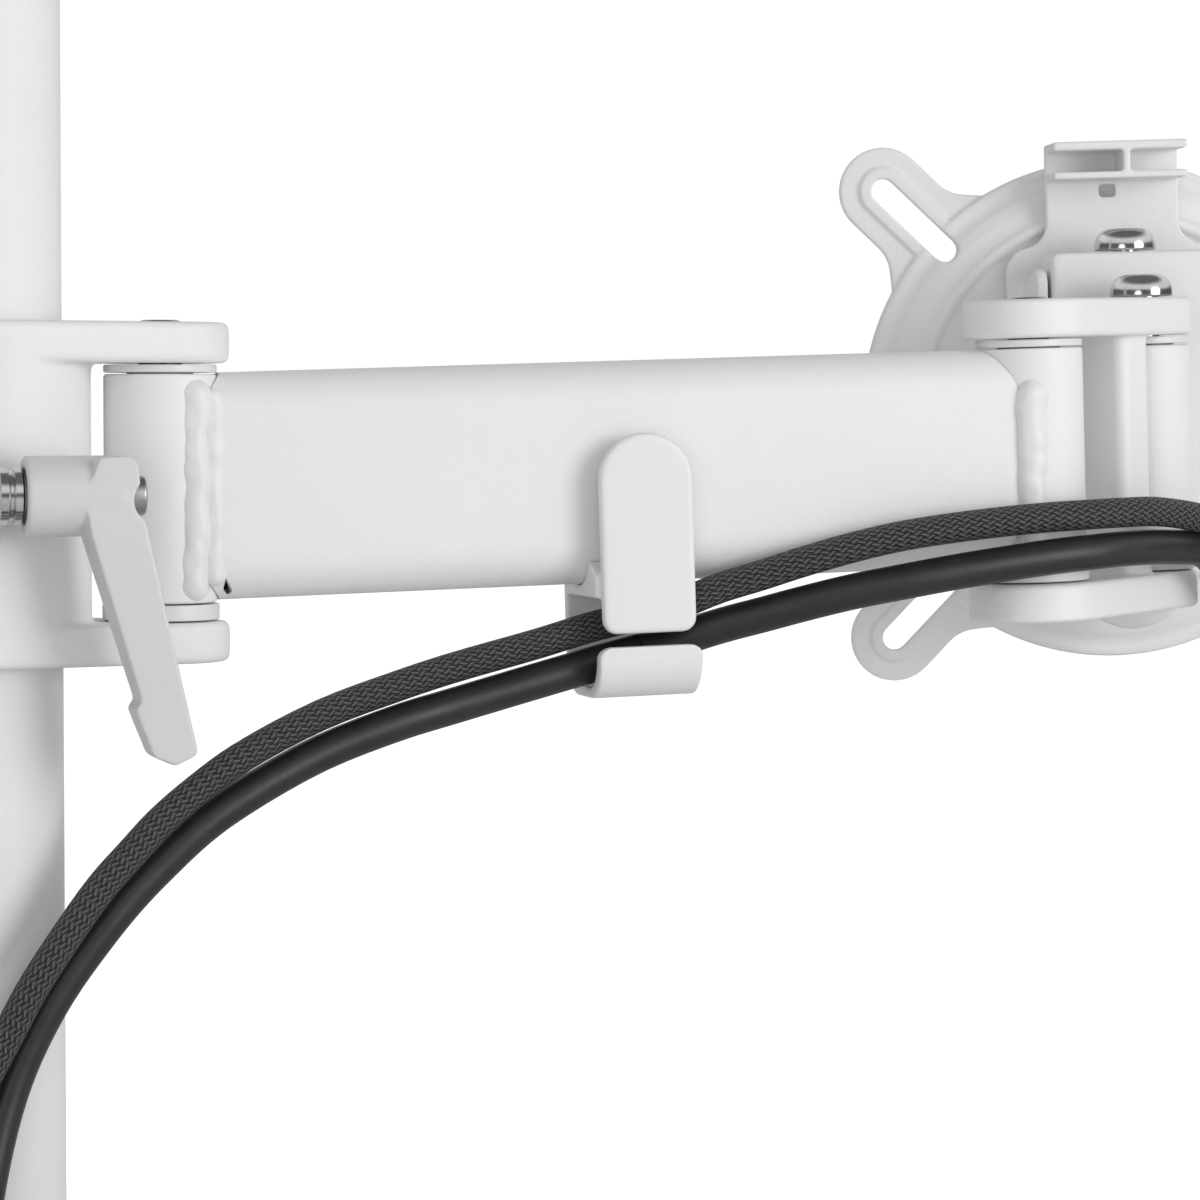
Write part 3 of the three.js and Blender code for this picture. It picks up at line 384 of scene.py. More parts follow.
def shader(name, roughness, metallic=0.0, specular=0.5):
    material = bpy.data.materials.new(name)
    material.use_nodes = True
    tree = material.node_tree
    principled = tree.nodes["Principled BSDF"]
    principled.inputs["Roughness"].default_value = roughness
    principled.inputs["Metallic"].default_value = metallic
    principled.inputs["Specular IOR Level"].default_value = specular
    return material, tree, principled


def colour_ramp(tree, factor, stops):
    ramp = tree.nodes.new("ShaderNodeValToRGB")
    ramp.color_ramp.elements[0].position = stops[0][0]
    ramp.color_ramp.elements[0].color = (*stops[0][1], 1)
    ramp.color_ramp.elements[1].position = stops[-1][0]
    ramp.color_ramp.elements[1].color = (*stops[-1][1], 1)
    for position, colour in stops[1:-1]:
        element = ramp.color_ramp.elements.new(position)
        element.color = (*colour, 1)
    tree.links.new(factor, ramp.inputs[0])
    return ramp.outputs[0]


def bump(tree, principled, height, strength, distance):
    node = tree.nodes.new("ShaderNodeBump")
    node.inputs["Strength"].default_value = strength
    node.inputs["Distance"].default_value = distance
    tree.links.new(height, node.inputs["Height"])
    tree.links.new(node.outputs[0], principled.inputs["Normal"])


def mottled(tree, principled, colour, shade, grain, mottle):
    """Adds the grain group to a material, and lets it darken the colour down to its shade."""
    node = tree.nodes.new("ShaderNodeGroup")
    node.node_tree = GRAIN
    node.inputs["Grain size mm"].default_value = grain
    node.inputs["Mottle size mm"].default_value = mottle
    darker = tuple(c * shade for c in colour)
    tree.links.new(colour_ramp(tree, node.outputs["Mottle"], [(0.3, darker), (0.7, colour)]),
                   principled.inputs["Base Color"])
    return node


def grained(name, colour, shade, roughness, spread, grain, depth, mottle=30.0, strength=0.6):
    """A moulded or coated finish: fine grain, a slow drift of colour and of gloss.

    spread is the drift of roughness, grain and mottle are sizes in millimetres, and depth is
    the height of the grain in metres."""
    material, tree, principled = shader(name, roughness)
    node = mottled(tree, principled, colour, shade, grain, mottle)
    gloss = math_node(tree, "MULTIPLY_ADD", node.outputs["Mottle"], spread, roughness - spread / 2)
    tree.links.new(gloss, principled.inputs["Roughness"])
    bump(tree, principled, node.outputs["Height"], strength, depth)
    return material


def metal(name, colour, roughness):
    """Bare metal with a faint bloom in its colour and gloss."""
    material, tree, principled = shader(name, roughness, metallic=1.0)
    node = mottled(tree, principled, colour, 0.86, 0.25, 4.0)
    gloss = math_node(tree, "MULTIPLY_ADD", node.outputs["Mottle"], 0.12, roughness - 0.05)
    tree.links.new(gloss, principled.inputs["Roughness"])
    bump(tree, principled, node.outputs["Height"], 0.25, 0.00002)
    return material


def braid_finish(name, turns, pitch):
    """A braided sleeve: two sets of strands cross over and under, with a painted highlight on the strand crowns
    and painted shade between the strands. The piece's own UV map has its first coordinate round the cord and its
    second along it, in metres."""
    material, tree, principled = shader(name, 0.55, specular=0.6)
    coordinates = tree.nodes.new("ShaderNodeUVMap")
    coordinates.uv_map = "UVMap"
    split = tree.nodes.new("ShaderNodeSeparateXYZ")
    tree.links.new(coordinates.outputs[0], split.inputs[0])
    around = math_node(tree, "MULTIPLY", split.outputs["X"], turns)
    along = math_node(tree, "DIVIDE", split.outputs["Y"], pitch)
    right = math_node(tree, "ADD", around, along)
    left = math_node(tree, "SUBTRACT", around, along)

    def strand(phase):
        """The rounded height across a strand: 1 on its crown, 0 between strands."""
        offset = math_node(tree, "SUBTRACT", math_node(tree, "FRACT", phase), 0.5)
        wide = math_node(tree, "MULTIPLY", math_node(tree, "ABSOLUTE", offset), 2.0)
        return math_node(tree, "SUBTRACT", 1.0, math_node(tree, "POWER", wide, 2.0))

    # over and under swap every second strand
    steps = math_node(tree, "ADD", math_node(tree, "FLOOR", right), math_node(tree, "FLOOR", left))
    positive = math_node(tree, "ADD", steps, 4000.0)
    over = math_node(tree, "GREATER_THAN", math_node(tree, "MODULO", positive, 2.0), 0.5)
    under = math_node(tree, "SUBTRACT", 1.0, over)
    top = math_node(tree, "ADD", math_node(tree, "MULTIPLY", strand(right), over),
                    math_node(tree, "MULTIPLY", strand(left), under))
    # fine filaments run along each strand
    filaments = 4
    fine_right = math_node(tree, "SINE", math_node(tree, "MULTIPLY", right, 2 * math.pi * filaments))
    fine_left = math_node(tree, "SINE", math_node(tree, "MULTIPLY", left, 2 * math.pi * filaments))
    fine = math_node(tree, "ADD", math_node(tree, "MULTIPLY", fine_right, over),
                     math_node(tree, "MULTIPLY", fine_left, under))
    height = math_node(tree, "MULTIPLY_ADD", fine, 0.12, top)
    # painted highlight and painted shade: the colour is lighter on each strand's crown and along its filaments,
    # and almost black between strands
    painted_crown_light = math_node(tree, "MULTIPLY_ADD", fine, 0.12, math_node(tree, "MULTIPLY", top, 0.8))
    stops = [(0.15, (0.004, 0.004, 0.004)), (0.62, (0.014, 0.014, 0.015)), (0.92, (0.2, 0.2, 0.205))]
    tree.links.new(colour_ramp(tree, painted_crown_light, stops), principled.inputs["Base Color"])
    bump(tree, principled, height, 0.9, 0.00045)
    return material


COAT = grained("white_powder_coat", (0.87, 0.87, 0.868), 0.975, 0.52, 0.08, 0.8, 0.00011, strength=0.8)
WELD = grained("coated_weld", (0.85, 0.85, 0.845), 0.95, 0.42, 0.1, 1.1, 0.00009, mottle=6.0, strength=0.5)
PLASTIC = grained("satin_white_plastic", (0.84, 0.84, 0.835), 0.985, 0.4, 0.05, 0.35, 0.00002, strength=0.3)
LEVER_PLASTIC = grained("lever_plastic", (0.7, 0.7, 0.698), 0.985, 0.36, 0.05, 0.35, 0.00002, strength=0.3)
NYLON = grained("bearing_nylon", (0.8, 0.8, 0.785), 0.97, 0.38, 0.06, 0.5, 0.00002, strength=0.3)
FOAM = grained("foam_pad", (0.025, 0.025, 0.026), 0.7, 0.9, 0.05, 0.9, 0.0002)
JACKET = grained("cable_rubber", (0.02, 0.02, 0.021), 0.7, 0.42, 0.14, 2.2, 0.00022, mottle=6.0, strength=0.5)
MOULDED_BLACK = grained("moulded_black", (0.018, 0.018, 0.019), 0.85, 0.5, 0.08, 0.4, 0.00004)
CHROME = metal("polished_chrome", (0.66, 0.66, 0.67), 0.14)
STEEL = metal("machined_steel", (0.42, 0.42, 0.43), 0.32)
BRAID = braid_finish("braided_sleeve", 16, 0.0027)

# ---------------------------------------------------------------- base and pole


def base_and_pole():
    pad_thickness = 1.5
    plate_low, plate_high = 1.8, 9.8
    pad_hole, screw_hole, screw_head = 4, 3.5, 6.9
    hole_reach = 42.0
    angles = [math.radians(45 + 90 * i) for i in range(4)]
    holes = [Matrix.Translation((hole_reach * math.cos(a), hole_reach * math.sin(a), 0)) for a in angles]
    pad = fused("desk_pad_foam", [rod(BASE_RADIUS - 1, 0, pad_thickness, 0.3, 128)],
                [rod(pad_hole, -1, 3, 0, 32, hole) for hole in holes])
    fit_out(pad, STAND, FOAM, "stand", ["desk_pad"])
    profile = eased([(0, plate_low), (BASE_RADIUS, plate_low), (BASE_RADIUS, plate_high), (0, plate_high)],
                    [0, 0.6, 2.2, 0], 6, closed=False)
    countersink = [(0, -1), (screw_hole, -1), (screw_hole, 6.4), (screw_head, plate_high), (screw_head, 12),
                   (0, 12)]
    plate = fused("base_plate_steel", [turned(profile, 160)],
                  [turned(countersink, 48, hole) for hole in holes])
    fit_out(plate, STAND, COAT, "stand", ["base_plate"])

    inside, outside, foot, head = 17.8, 25.8, 10.1, 45.1
    screw_height = 31.1
    socket = eased([(inside, foot), (outside, foot), (outside, head), (inside, head)],
                   [0.3, 0.3, 2.2, 0.8], 5)
    height = Matrix.Translation((0, 0, screw_height))
    drills = [rod(3.3, 16, 28, 0, 32, height @ turn @ Matrix.Rotation(-math.pi / 2, 4, "X"))
              for turn in (Matrix.Identity(4), Matrix.Rotation(math.pi / 2, 4, "Z"))]
    fit_out(fused("pole_socket_turned", [turned(socket + socket[:1], 128)], drills), STAND, COAT,
            "stand", ["pole_socket"])
    made("pole_tube", ring(POLE_RADIUS, POLE_RADIUS - 2, POLE_FOOT, POLE_TOP, 0.3, 160), STAND, COAT,
         "stand", ["pole"])
    cap = [(0, 381.3), (14.2, 381.3), (15.2, 383.3), (15.2, 395.3), (17.5, 395.3), (17.5, 397.3)]
    cap += arc(15.5, 397.3, 2.0, 0, 90, 8)[1:] + [(0, 399.3)]
    made("pole_end_cap", turned(cap, 128), STAND, PLASTIC, "stand", ["pole_cap"])


# ---------------------------------------------------------------- collar


def hull_pair(outline, edge):
    """The same plate at the top and at the bottom of a clevis."""
    inner = HALF_CLEVIS - LUG_THICKNESS
    return [prism(outline, inner, HALF_CLEVIS, edge), prism(outline, -HALF_CLEVIS, -inner, edge)]


def collar():
    slit_low, slit_high = -10.5, -7.5
    ears_low, ears_high = -17.5, -0.5
    ear_reach = 10.0
    ear_y = -34.0
    parts = [turned(eased([(0, -HALF_CLEVIS), (RING_RADIUS, -HALF_CLEVIS), (RING_RADIUS, HALF_CLEVIS),
                           (0, HALF_CLEVIS)], 1.4, 4, closed=False), 128)]
    parts += hull_pair(strap(RING_RADIUS, LUG_RADIUS, PIN_OFFSET), 1.4)
    ear = arc(ear_y, 0, ear_reach, 90, 270, 24) + [(-12, -ear_reach), (-12, ear_reach)]
    for low, high in ((ears_low, slit_low + 1), (slit_high - 1, ears_high)):
        parts.append(prism(ear, low, high, 1.0, 3, RAISED_ALONG_X))
    stud_hole = Matrix.Translation((0, ear_y, 0)) @ RAISED_ALONG_X
    cuts = [
        rod(RING_BORE, -THROUGH, THROUGH, 0, 128),
        block(slit_low, slit_high, -60, -10, -THROUGH, THROUGH),
        rod(BOLT_HOLE, -30, 10, 0, 48, stud_hole),
        rod(PIN_RADIUS + GAP, -THROUGH, THROUGH, 0, 48, Matrix.Translation((PIN_OFFSET, 0, 0))),
    ]
    casting = fused("collar_casting", parts, cuts, 0.6, 6, 0.6)
    fit_out(casting, COLLAR, COAT, "collar", ["collar"], 0)


def flush_pin(node, where, body):
    """A pivot pin whose top stands just proud of its lug, with a drive recess."""
    high = HALF_CLEVIS + 0.5
    profile = eased([(0, -HALF_CLEVIS), (PIN_RADIUS, -HALF_CLEVIS), (PIN_RADIUS, high), (0, high)],
                    [0, 0.5, 1.0, 0], 4, closed=False)
    pin = fused(node + "_turned", [turned(profile, 64)], [prism(hexagon(2.2), HALF_CLEVIS - 3, high + 1)])
    fit_out(pin, where, STEEL, body, [node])


def hex_nut(node, where, body, low, high, turn=None):
    """A nut with chamfered corners."""
    half = (high - low) / 2
    corner, flat = NUT_RADIUS * 1.02, NUT_RADIUS * 0.9
    chamfer = turned([(0, low), (flat, low), (corner, low + 0.9), (corner, high - 0.9), (flat, high),
                      (0, high)], 64)
    nut = fused(node + "_hex", [prism(hexagon(NUT_RADIUS), low, high)],
                [rod(BOLT_HOLE, low - half, high + half, 0, 48)])
    combine(nut, chamfer, "INTERSECT")
    if turn:
        nut.data.transform(turn)
    fit_out(nut, where, STEEL, body, [node])


# ---------------------------------------------------------------- ratchet lever

STUD_HUB = 5.1       # the hub's inner end along the clamp axis
HUB_LENGTH = 20.0
HUB_END = STUD_HUB + HUB_LENGTH


def clamp_parts():
    hex_nut("clamp_nut", CLAMP, "collar", -24.3, -17.8, RAISED_ALONG_X)
    profile = [(0, -25.8), (3.4, -25.8), (4.0, -25.2), (4.0, -0.2), (5.3, -0.2), (5.7, 0.2), (5.7, 1.7)]
    profile += [(5.2, 2.1), (5.2, 2.6), (5.7, 3.0), (5.7, 4.4), (5.3, 4.8), (4.6, 4.8), (4.6, 14.1),
                (0, 14.1)]
    made("lever_stud_turned", turned(profile, 96, RAISED_ALONG_X), CLAMP, CHROME, "lever_insert",
         ["lever_stud"])
    head_low = HUB_END - 3.6
    head_high = 28.9
    head = eased([(0, head_low), (3.9, head_low), (3.9, head_high), (0, head_high)], 0.6, 4, closed=False)
    screw = fused("lever_screw_head", [turned(head, 64), rod(2.0, 9.6, head_low + 0.5, 0.2, 40)],
                  [prism(hexagon(1.9), head_high - 2.2, head_high + 1)])
    screw.data.transform(RAISED_ALONG_X)
    fit_out(screw, CLAMP, STEEL, "lever_insert", ["lever_screw"])


def lever_spring():
    """The spring that pulls the lever back onto its splines."""
    low, high = (Vector(corner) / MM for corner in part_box("lever_spring"))
    middle = (low + high) / 2
    wire, coils, steps = 0.35, 3, 24
    mean = (high.y - low.y) / 2 - wire
    length = high.x - low.x - 2 * wire
    points = []
    for k in range(coils * steps + 1):
        angle = 2 * math.pi * k / steps
        points.append((low.x + wire + length * k / (coils * steps), middle.y + mean * math.cos(angle),
                       middle.z + mean * math.sin(angle)))
    spring = lead("lever_spring_wound", points, wire, STEEL)
    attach(spring, "lever_insert")
    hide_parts("lever_spring")
    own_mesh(spring)


def lever_handle():
    """The moulded handle: a round hub and a flat grip that leans outwards to a hooked tip."""
    hub_radius = 7.9
    hub_profile = eased([(0, STUD_HUB), (hub_radius, STUD_HUB), (hub_radius, HUB_END), (0, HUB_END)],
                        [0, 0.7, 1.6, 0], 5, closed=False)
    grip = [(19.0, 7.6), (16.0, 0.0), (17.2, -7.6), (27.2, -40.0), (26.0, -41.8), (29.6, -51.0),
            (34.0, -52.9), (38.6, -50.6), (27.6, -4.0), (26.4, 6.4), (24.6, 7.8)]
    grip = eased(grip, [0, 0, 6.0, 0.7, 0.8, 2.5, 1.6, 1.6, 6.0, 1.5, 1.0], 6)
    taper = [(-7.7, 12), (-7.7, -8), (-4.5, -56), (4.5, -56), (7.7, -8), (7.7, 12)]
    bar = fused("bar", [prism(grip, -9, 9, 0, 3, RAISED_ALONG_Y)])
    combine(bar, prism(taper, 0, 50, 0, 3, RAISED_ALONG_X), "INTERSECT")
    bar_bm = bmesh.new()
    bar_bm.from_mesh(bar.data)
    bpy.data.objects.remove(bar)
    cuts = [rod(5.5, 0, STUD_HUB + 9.3, 0, 48, RAISED_ALONG_X), rod(2.6, 10, 30, 0, 32, RAISED_ALONG_X),
            rod(4.4, STUD_HUB + 11.3, 45, 0, 48, RAISED_ALONG_X),
            rod(4.6, 0, 12, 0, 48, Matrix.Translation((30.2, 0, -0.8)) @ RAISED_ALONG_Y)]
    hub = turned(hub_profile, 96, RAISED_ALONG_X)
    handle = fused("clamp_lever_moulded", [hub, bar_bm], cuts, 0.32, 9, 0.5)
    fit_out(handle, CLAMP, LEVER_PLASTIC, "lever_handle", ["clamp_lever"], 0)


# ---------------------------------------------------------------- swing arm


def bearing(name, where, body, barrel, top):
    """A flanged nylon bearing: the sleeve sits in the bush and the flange on its end."""
    bore, sleeve, depth = 4.7, 6.8, 12.0
    if top:
        seat, rim, outer = BUSH_HIGH + GAP, BUSH_HIGH + GAP + TOP_FLANGE, barrel
    else:
        seat, rim, outer, depth = BUSH_LOW - GAP, BUSH_LOW - GAP - BOTTOM_FLANGE, barrel + 0.4, -depth
    outline = eased([(bore, seat - depth), (sleeve, seat - depth), (sleeve, seat), (outer, seat),
                     (outer, rim), (bore, rim)], [0.2, 0.3, 0, 0.35, 0.35, 0.2], 4)
    made(name + "_turned", turned(outline + outline[:1], 96), where, NYLON, body, [name])


def bush(name, where):
    outline = eased([(7.3, BUSH_LOW), (BUSH_RADIUS, BUSH_LOW), (BUSH_RADIUS, BUSH_HIGH), (7.3, BUSH_HIGH)],
                    [0.3, 0.7, 0.7, 0.3], 4)
    made(name + "_turned", turned(outline + outline[:1], 128), where, COAT, "arm", [name])


def rounded_tube(height, thickness, radius):
    half_h, half_t = height / 2, thickness / 2
    return eased([(half_t, -half_h), (half_t, half_h), (-half_t, half_h), (-half_t, -half_h)], radius, 14)


def arm_tube():
    outer = prism(rounded_tube(TUBE_HEIGHT, TUBE_THICKNESS, 9.99), 0, ARM_LENGTH, 0, 3,
                  Matrix.Translation((0, 0, TUBE_MIDDLE)) @ RAISED_ALONG_X)
    inner = prism(rounded_tube(TUBE_HEIGHT - 4, TUBE_THICKNESS - 4, 7.99), -1, ARM_LENGTH + 1, 0, 3,
                  Matrix.Translation((0, 0, TUBE_MIDDLE)) @ RAISED_ALONG_X)
    lean = ARM.inverted() @ SHOULDER
    ends = [rod(BUSH_RADIUS + GAP, -40, 40, 0, 128, lean),
            rod(BUSH_RADIUS + GAP, -40, 40, 0, 128, Matrix.Translation((ARM_LENGTH, 0, 0)))]
    tear = eased([(11.3, -17.6), (13.2, -20.6), (12.2, -21.4), (11.0, -20.0)], [0, 0.8, 0.8, 0.6], 6)
    pinholes = [prism(tear, 0, 14, 0, 3, RAISED_ALONG_Y),
                rod(0.6, 0, 14, 0, 16, Matrix.Translation((11.0, 0, 19.6)) @ RAISED_ALONG_Y)]
    tube = fused("arm_tube_drawn", [outer], [inner] + ends + pinholes)
    fit_out(tube, ARM, COAT, "arm", ["arm_tube"], 30)


def weld_bead(name, where, x, y, low, high, wide, deep, seed):
    """A lumpy bead of weld that runs up the corner between a bush and the tube."""
    cap = [math.radians(15 * k) for k in range(7)]
    heights = [low + wide - wide * math.cos(a) for a in cap]
    radii = [math.sin(a) for a in cap]
    rings = 120
    for k in range(1, rings):
        heights.append(low + wide + (high - low - 2 * wide) * k / rings)
        radii.append(1.0)
    heights += [high - wide + wide * math.sin(a) for a in cap]
    radii += [math.cos(a) for a in cap[:-1]] + [0.0]
    bm = turned(list(zip(radii, heights)), 40)
    for vertex in bm.verts:
        z = vertex.co.z
        lump = 1 + 0.16 * noise.noise(Vector((seed, 0, z * 0.13)))
        drift = 0.9 * noise.noise(Vector((seed, 9, z * 0.09)))
        pit = 0.16 * noise.noise(Vector((vertex.co.x * 0.8 + seed, vertex.co.y * 0.8, z * 0.3)))
        vertex.co.x = x + drift + vertex.co.x * wide * (lump + pit)
        vertex.co.y = y + vertex.co.y * deep * (lump + pit)
    made(name, bm, where, WELD, "arm", (), 0)


def welds():
    for side, face in ((-1, "front"), (1, "back")):
        weld_bead("shoulder_weld_" + face, SHOULDER, 5.3, side * 9.2, -22.0, 23.0, 3.2, 2.8, 3.0 + side)
        weld_bead("shoulder_weld_edge_" + face, SHOULDER, 9.4, side * 8.5, -19.0, 21.0, 2.5, 2.1, 8.0 + side)
        weld_bead("elbow_weld_" + face, ELBOW, -3.3, side * 10.2, -21.0, 17.6, 3.4, 2.4, 14.0 + side)


# ---------------------------------------------------------------- cable clip


def cable_clip():
    tube_bottom = BUSH_LOW
    saddle = TUBE_THICKNESS / 2 + GAP
    saddle_z = tube_bottom + TUBE_THICKNESS / 2
    wall = 2.2
    tongue = arc(0, -1.0, 10.0, 0, 180, 36) + [(-10.0, -32.4), (10.0, -32.4)]
    radii = [0] * 37 + [3.0, 3.0]
    front = prism(eased(tongue, radii, 8), -16.5, -13.7, 0.9, 4)
    bmesh.ops.transform(front, matrix=Y_AND_Z_SWAPPED, verts=front.verts)
    bmesh.ops.recalc_face_normals(front, faces=front.faces)
    # the saddle and the hook, drawn across the arm as (y, z)
    back = saddle - 0.2
    under = saddle_z - saddle - wall
    bottom = -46.0
    lip = -35.1
    curve = 9.0
    outer = [(-14.4, under), (back - 1, under)]
    outer += [(back - 1, bottom + curve)]
    outer += arc(back - 1 - curve + wall, bottom + curve, curve - wall, 0, -90, 10)[1:]
    outer += arc(-16.5 + curve + 1, bottom + curve, curve - wall, -90, -180, 10)
    outer += [(-16.5 + wall + 0.5, lip), (-16.7, lip)]
    outer += arc(-16.5 + curve, bottom + curve, curve, -180, -90, 12)
    outer += arc(back - curve + wall - 1, bottom + curve, curve, -90, 0, 12)
    outer += [(back + wall - 1, saddle_z - 2), (saddle, saddle_z - 2)]
    outer += arc(0, saddle_z, saddle, -11, -151, 24)
    outer += [(-14.4, saddle_z - 8)]
    band = prism(outer, -11.1, 11.1, 0.5, 3, RAISED_ALONG_X)
    clip = fused("cable_clip_moulded", [band], [block(3.3, 20, -16.7, 1, under - 2, 0)])
    for side in (-1, 1):
        edge, inner = side * 11.3, side * 8.3
        corner = [(side * 13, lip + 1), (side * 13, lip - 3), (edge, lip - 3)]
        corner += arc(inner, lip - 3, 3.0, 90 - side * 90, 90, 10) + [(inner, lip + 1)]
        combine(clip, prism(corner, 12, 20, 0, 3, RAISED_ALONG_Y), "DIFFERENCE")
    combine(clip, front, "UNION")
    melt(clip, 0.36, 3, 0.5)
    fit_out(clip, CLIP, PLASTIC, "arm", ["cable_clip"], 0)


# ---------------------------------------------------------------- knuckle


def knuckle():
    web_outline = eased([(23, -9.6), (34, -9.6), (34, 9.6), (23, 9.6)], 2.5, 6)
    parts = hull_pair(strap(LUG_RADIUS, KNUCKLE_TIP, KNUCKLE_LENGTH), 1.1)
    parts.append(prism(web_outline, -HALF_CLEVIS + 2, HALF_CLEVIS - 2))
    tip = Matrix.Translation((KNUCKLE_LENGTH, 0, 0))
    cuts = [rod(PIN_RADIUS + GAP, -THROUGH, THROUGH, 0, 48), rod(BOLT_HOLE, -THROUGH, THROUGH, 0, 48, tip),
            prism(hexagon(NUT_RADIUS + GAP), -THROUGH, -HALF_CLEVIS + 5.6, 0, 3, tip)]
    casting = fused("knuckle_casting", parts, cuts, 0.5, 4, 0.6)
    fit_out(casting, KNUCKLE, COAT, "knuckle", ["knuckle"], 0)


def domed_head(radius, low, height):
    """A polished button head with a hex socket."""
    flat = radius * 0.5
    profile = [(0, low), (radius - 0.4, low), (radius, low + 0.4), (radius, low + height * 0.2)]
    for k in range(1, 13):
        angle = math.radians(90 * k / 12)
        profile.append((flat + (radius - flat) * math.cos(angle),
                        low + height * (0.2 + 0.8 * math.sin(angle))))
    profile.append((0, low + height))
    return turned(profile, 96), prism(hexagon(radius * 0.38), low + height * 0.4, low + height + 1)


def button_bolt(node, where, body, low, shank, shank_low):
    """A polished bolt with a domed head and a hex socket."""
    dome, socket = domed_head(DOME_RADIUS, low, DOME_HEIGHT)
    bolt = fused(node + "_polished", [dome, rod(shank, shank_low, low + 0.5, 0.3, 48)], [socket])
    fit_out(bolt, where, CHROME, body, [node])


# ---------------------------------------------------------------- head

BLOCK_FRONT = 12.2
BLOCK_BACK = 27.0
BLOCK_TOP = 45.4
TENSION_X = 19.75
TILT_Z = 9.65
PLATE_X = 39.2 - TENSION_X     # tilt axle to the dished middle of the monitor plate


def head_block():
    half, shoulder, foot, foot_z = 18.0, 5.0, 13.0, -27.5
    lean = math.degrees(math.asin((half - foot) / (shoulder - foot_z)))
    outline = [(half, BLOCK_TOP), (-half, BLOCK_TOP), (-half, shoulder)]
    outline += arc(0, foot_z, foot, 180 + lean, 360 - lean, 32) + [(half, shoulder)]
    radii = [1.6, 1.6, 14.0] + [0] * 33 + [14.0]
    body = prism(eased(outline, radii, 8), BLOCK_FRONT, BLOCK_BACK, 1.2, 3, RAISED_ALONG_X)
    barrel = turned(eased([(0, BUSH_LOW), (BARREL_RADIUS, BUSH_LOW), (BARREL_RADIUS, BUSH_HIGH),
                           (0, BUSH_HIGH)], 0.7, 3, closed=False), 96)
    neck = block(2, BLOCK_FRONT + 2, -8, 8, -19, 19)
    wedge = prism([(28, 0), (22.5, -40.5), (20, -60), (28, -60)], -30, 30, 0, 3, RAISED_ALONG_Y)
    recess = Matrix.Translation((0, 0, foot_z - 4)) @ RAISED_ALONG_X
    cuts = [rod(7.3, -THROUGH, THROUGH, 0, 64),
            rod(10.8, BLOCK_FRONT - 1, BLOCK_FRONT + 6, 0, 64, recess),
            rod(BOLT_HOLE, -30, 30, 0, 48, Matrix.Translation((TENSION_X, 0, TILT_Z)) @ RAISED_ALONG_Y),
            rod(3.3, TILT_Z, 60, 0, 40, Matrix.Translation((TENSION_X, 0, 0))), wedge]
    casting = fused("head_block_casting", [body, barrel, neck], cuts, 0.5, 3, 0.6)
    fit_out(casting, HEAD, COAT, "head_block", ["head_block"], 0)


def tilt_bracket():
    """Folded and welded sheet: a shield behind the block, two cheeks, and a shelf on top."""
    shield_x = 35.3 - TENSION_X
    shield_back = shield_x + 2.2
    neck, wide, foot, shoulder, top = 15.4, 24.9, -34, 36.7, 56
    outline = [(neck, top), (-neck, top), (-neck, shoulder + 1.8), (-wide, shoulder), (-wide, foot),
               (wide, foot), (wide, shoulder), (neck, shoulder + 1.8)]
    outline = eased(outline, [0, 0, 7, 6, 8, 8, 6, 7], 10)
    shield = prism(outline, shield_x, shield_back, 0.3, 2, RAISED_ALONG_X)
    front = BLOCK_FRONT - TENSION_X + 0.4
    cheek_high, cheek_low = 43 - TILT_Z, -8 - TILT_Z
    cheek = eased([(front, cheek_high), (shield_x + 1, cheek_high - 5), (shield_x + 1, cheek_low),
                   (front, cheek_low)], [4, 0, 0, 4], 8)
    parts = [shield]
    half_sheet = 1.25
    for side in (-1, 1):
        middle = Matrix.Translation((0, side * (18.9 + half_sheet), 0))
        parts.append(prism(cheek, -half_sheet, half_sheet, 0.3, 2, middle @ RAISED_ALONG_Y))
    shelf_low, shelf_high = 52.7, 61.2
    shelf_front = shield_x - 13
    for low, high in ((shelf_low, shelf_low + 1.6), (shelf_high - 2.0, shelf_high)):
        parts.append(block(shelf_front, shield_back, -neck, neck, low, high, 0.4))
    parts.append(block(shield_x, shield_back, -neck, neck, shelf_low + 0.5, shelf_high - 0.5, 0.2))
    parts.append(block(shelf_front, shield_back, -2.2, -0.6, shelf_low + 0.5, shelf_high - 0.5, 0.2))
    cuts = [block(shield_x - 1, shield_x + 3, -0.8, 3.1, 48.9, 51.8),
            rod(BOLT_HOLE, -40, 40, 0, 48, RAISED_ALONG_Y),
            rod(BOLT_HOLE, shield_x - 1, shield_x + 4, 0, 48, RAISED_ALONG_X)]
    bracket = fused("tilt_bracket_sheet", parts, cuts, 0.4, 2, 0.5)
    fit_out(bracket, TILT, COAT, "tilt_bracket", ["tilt_yoke"], 0)


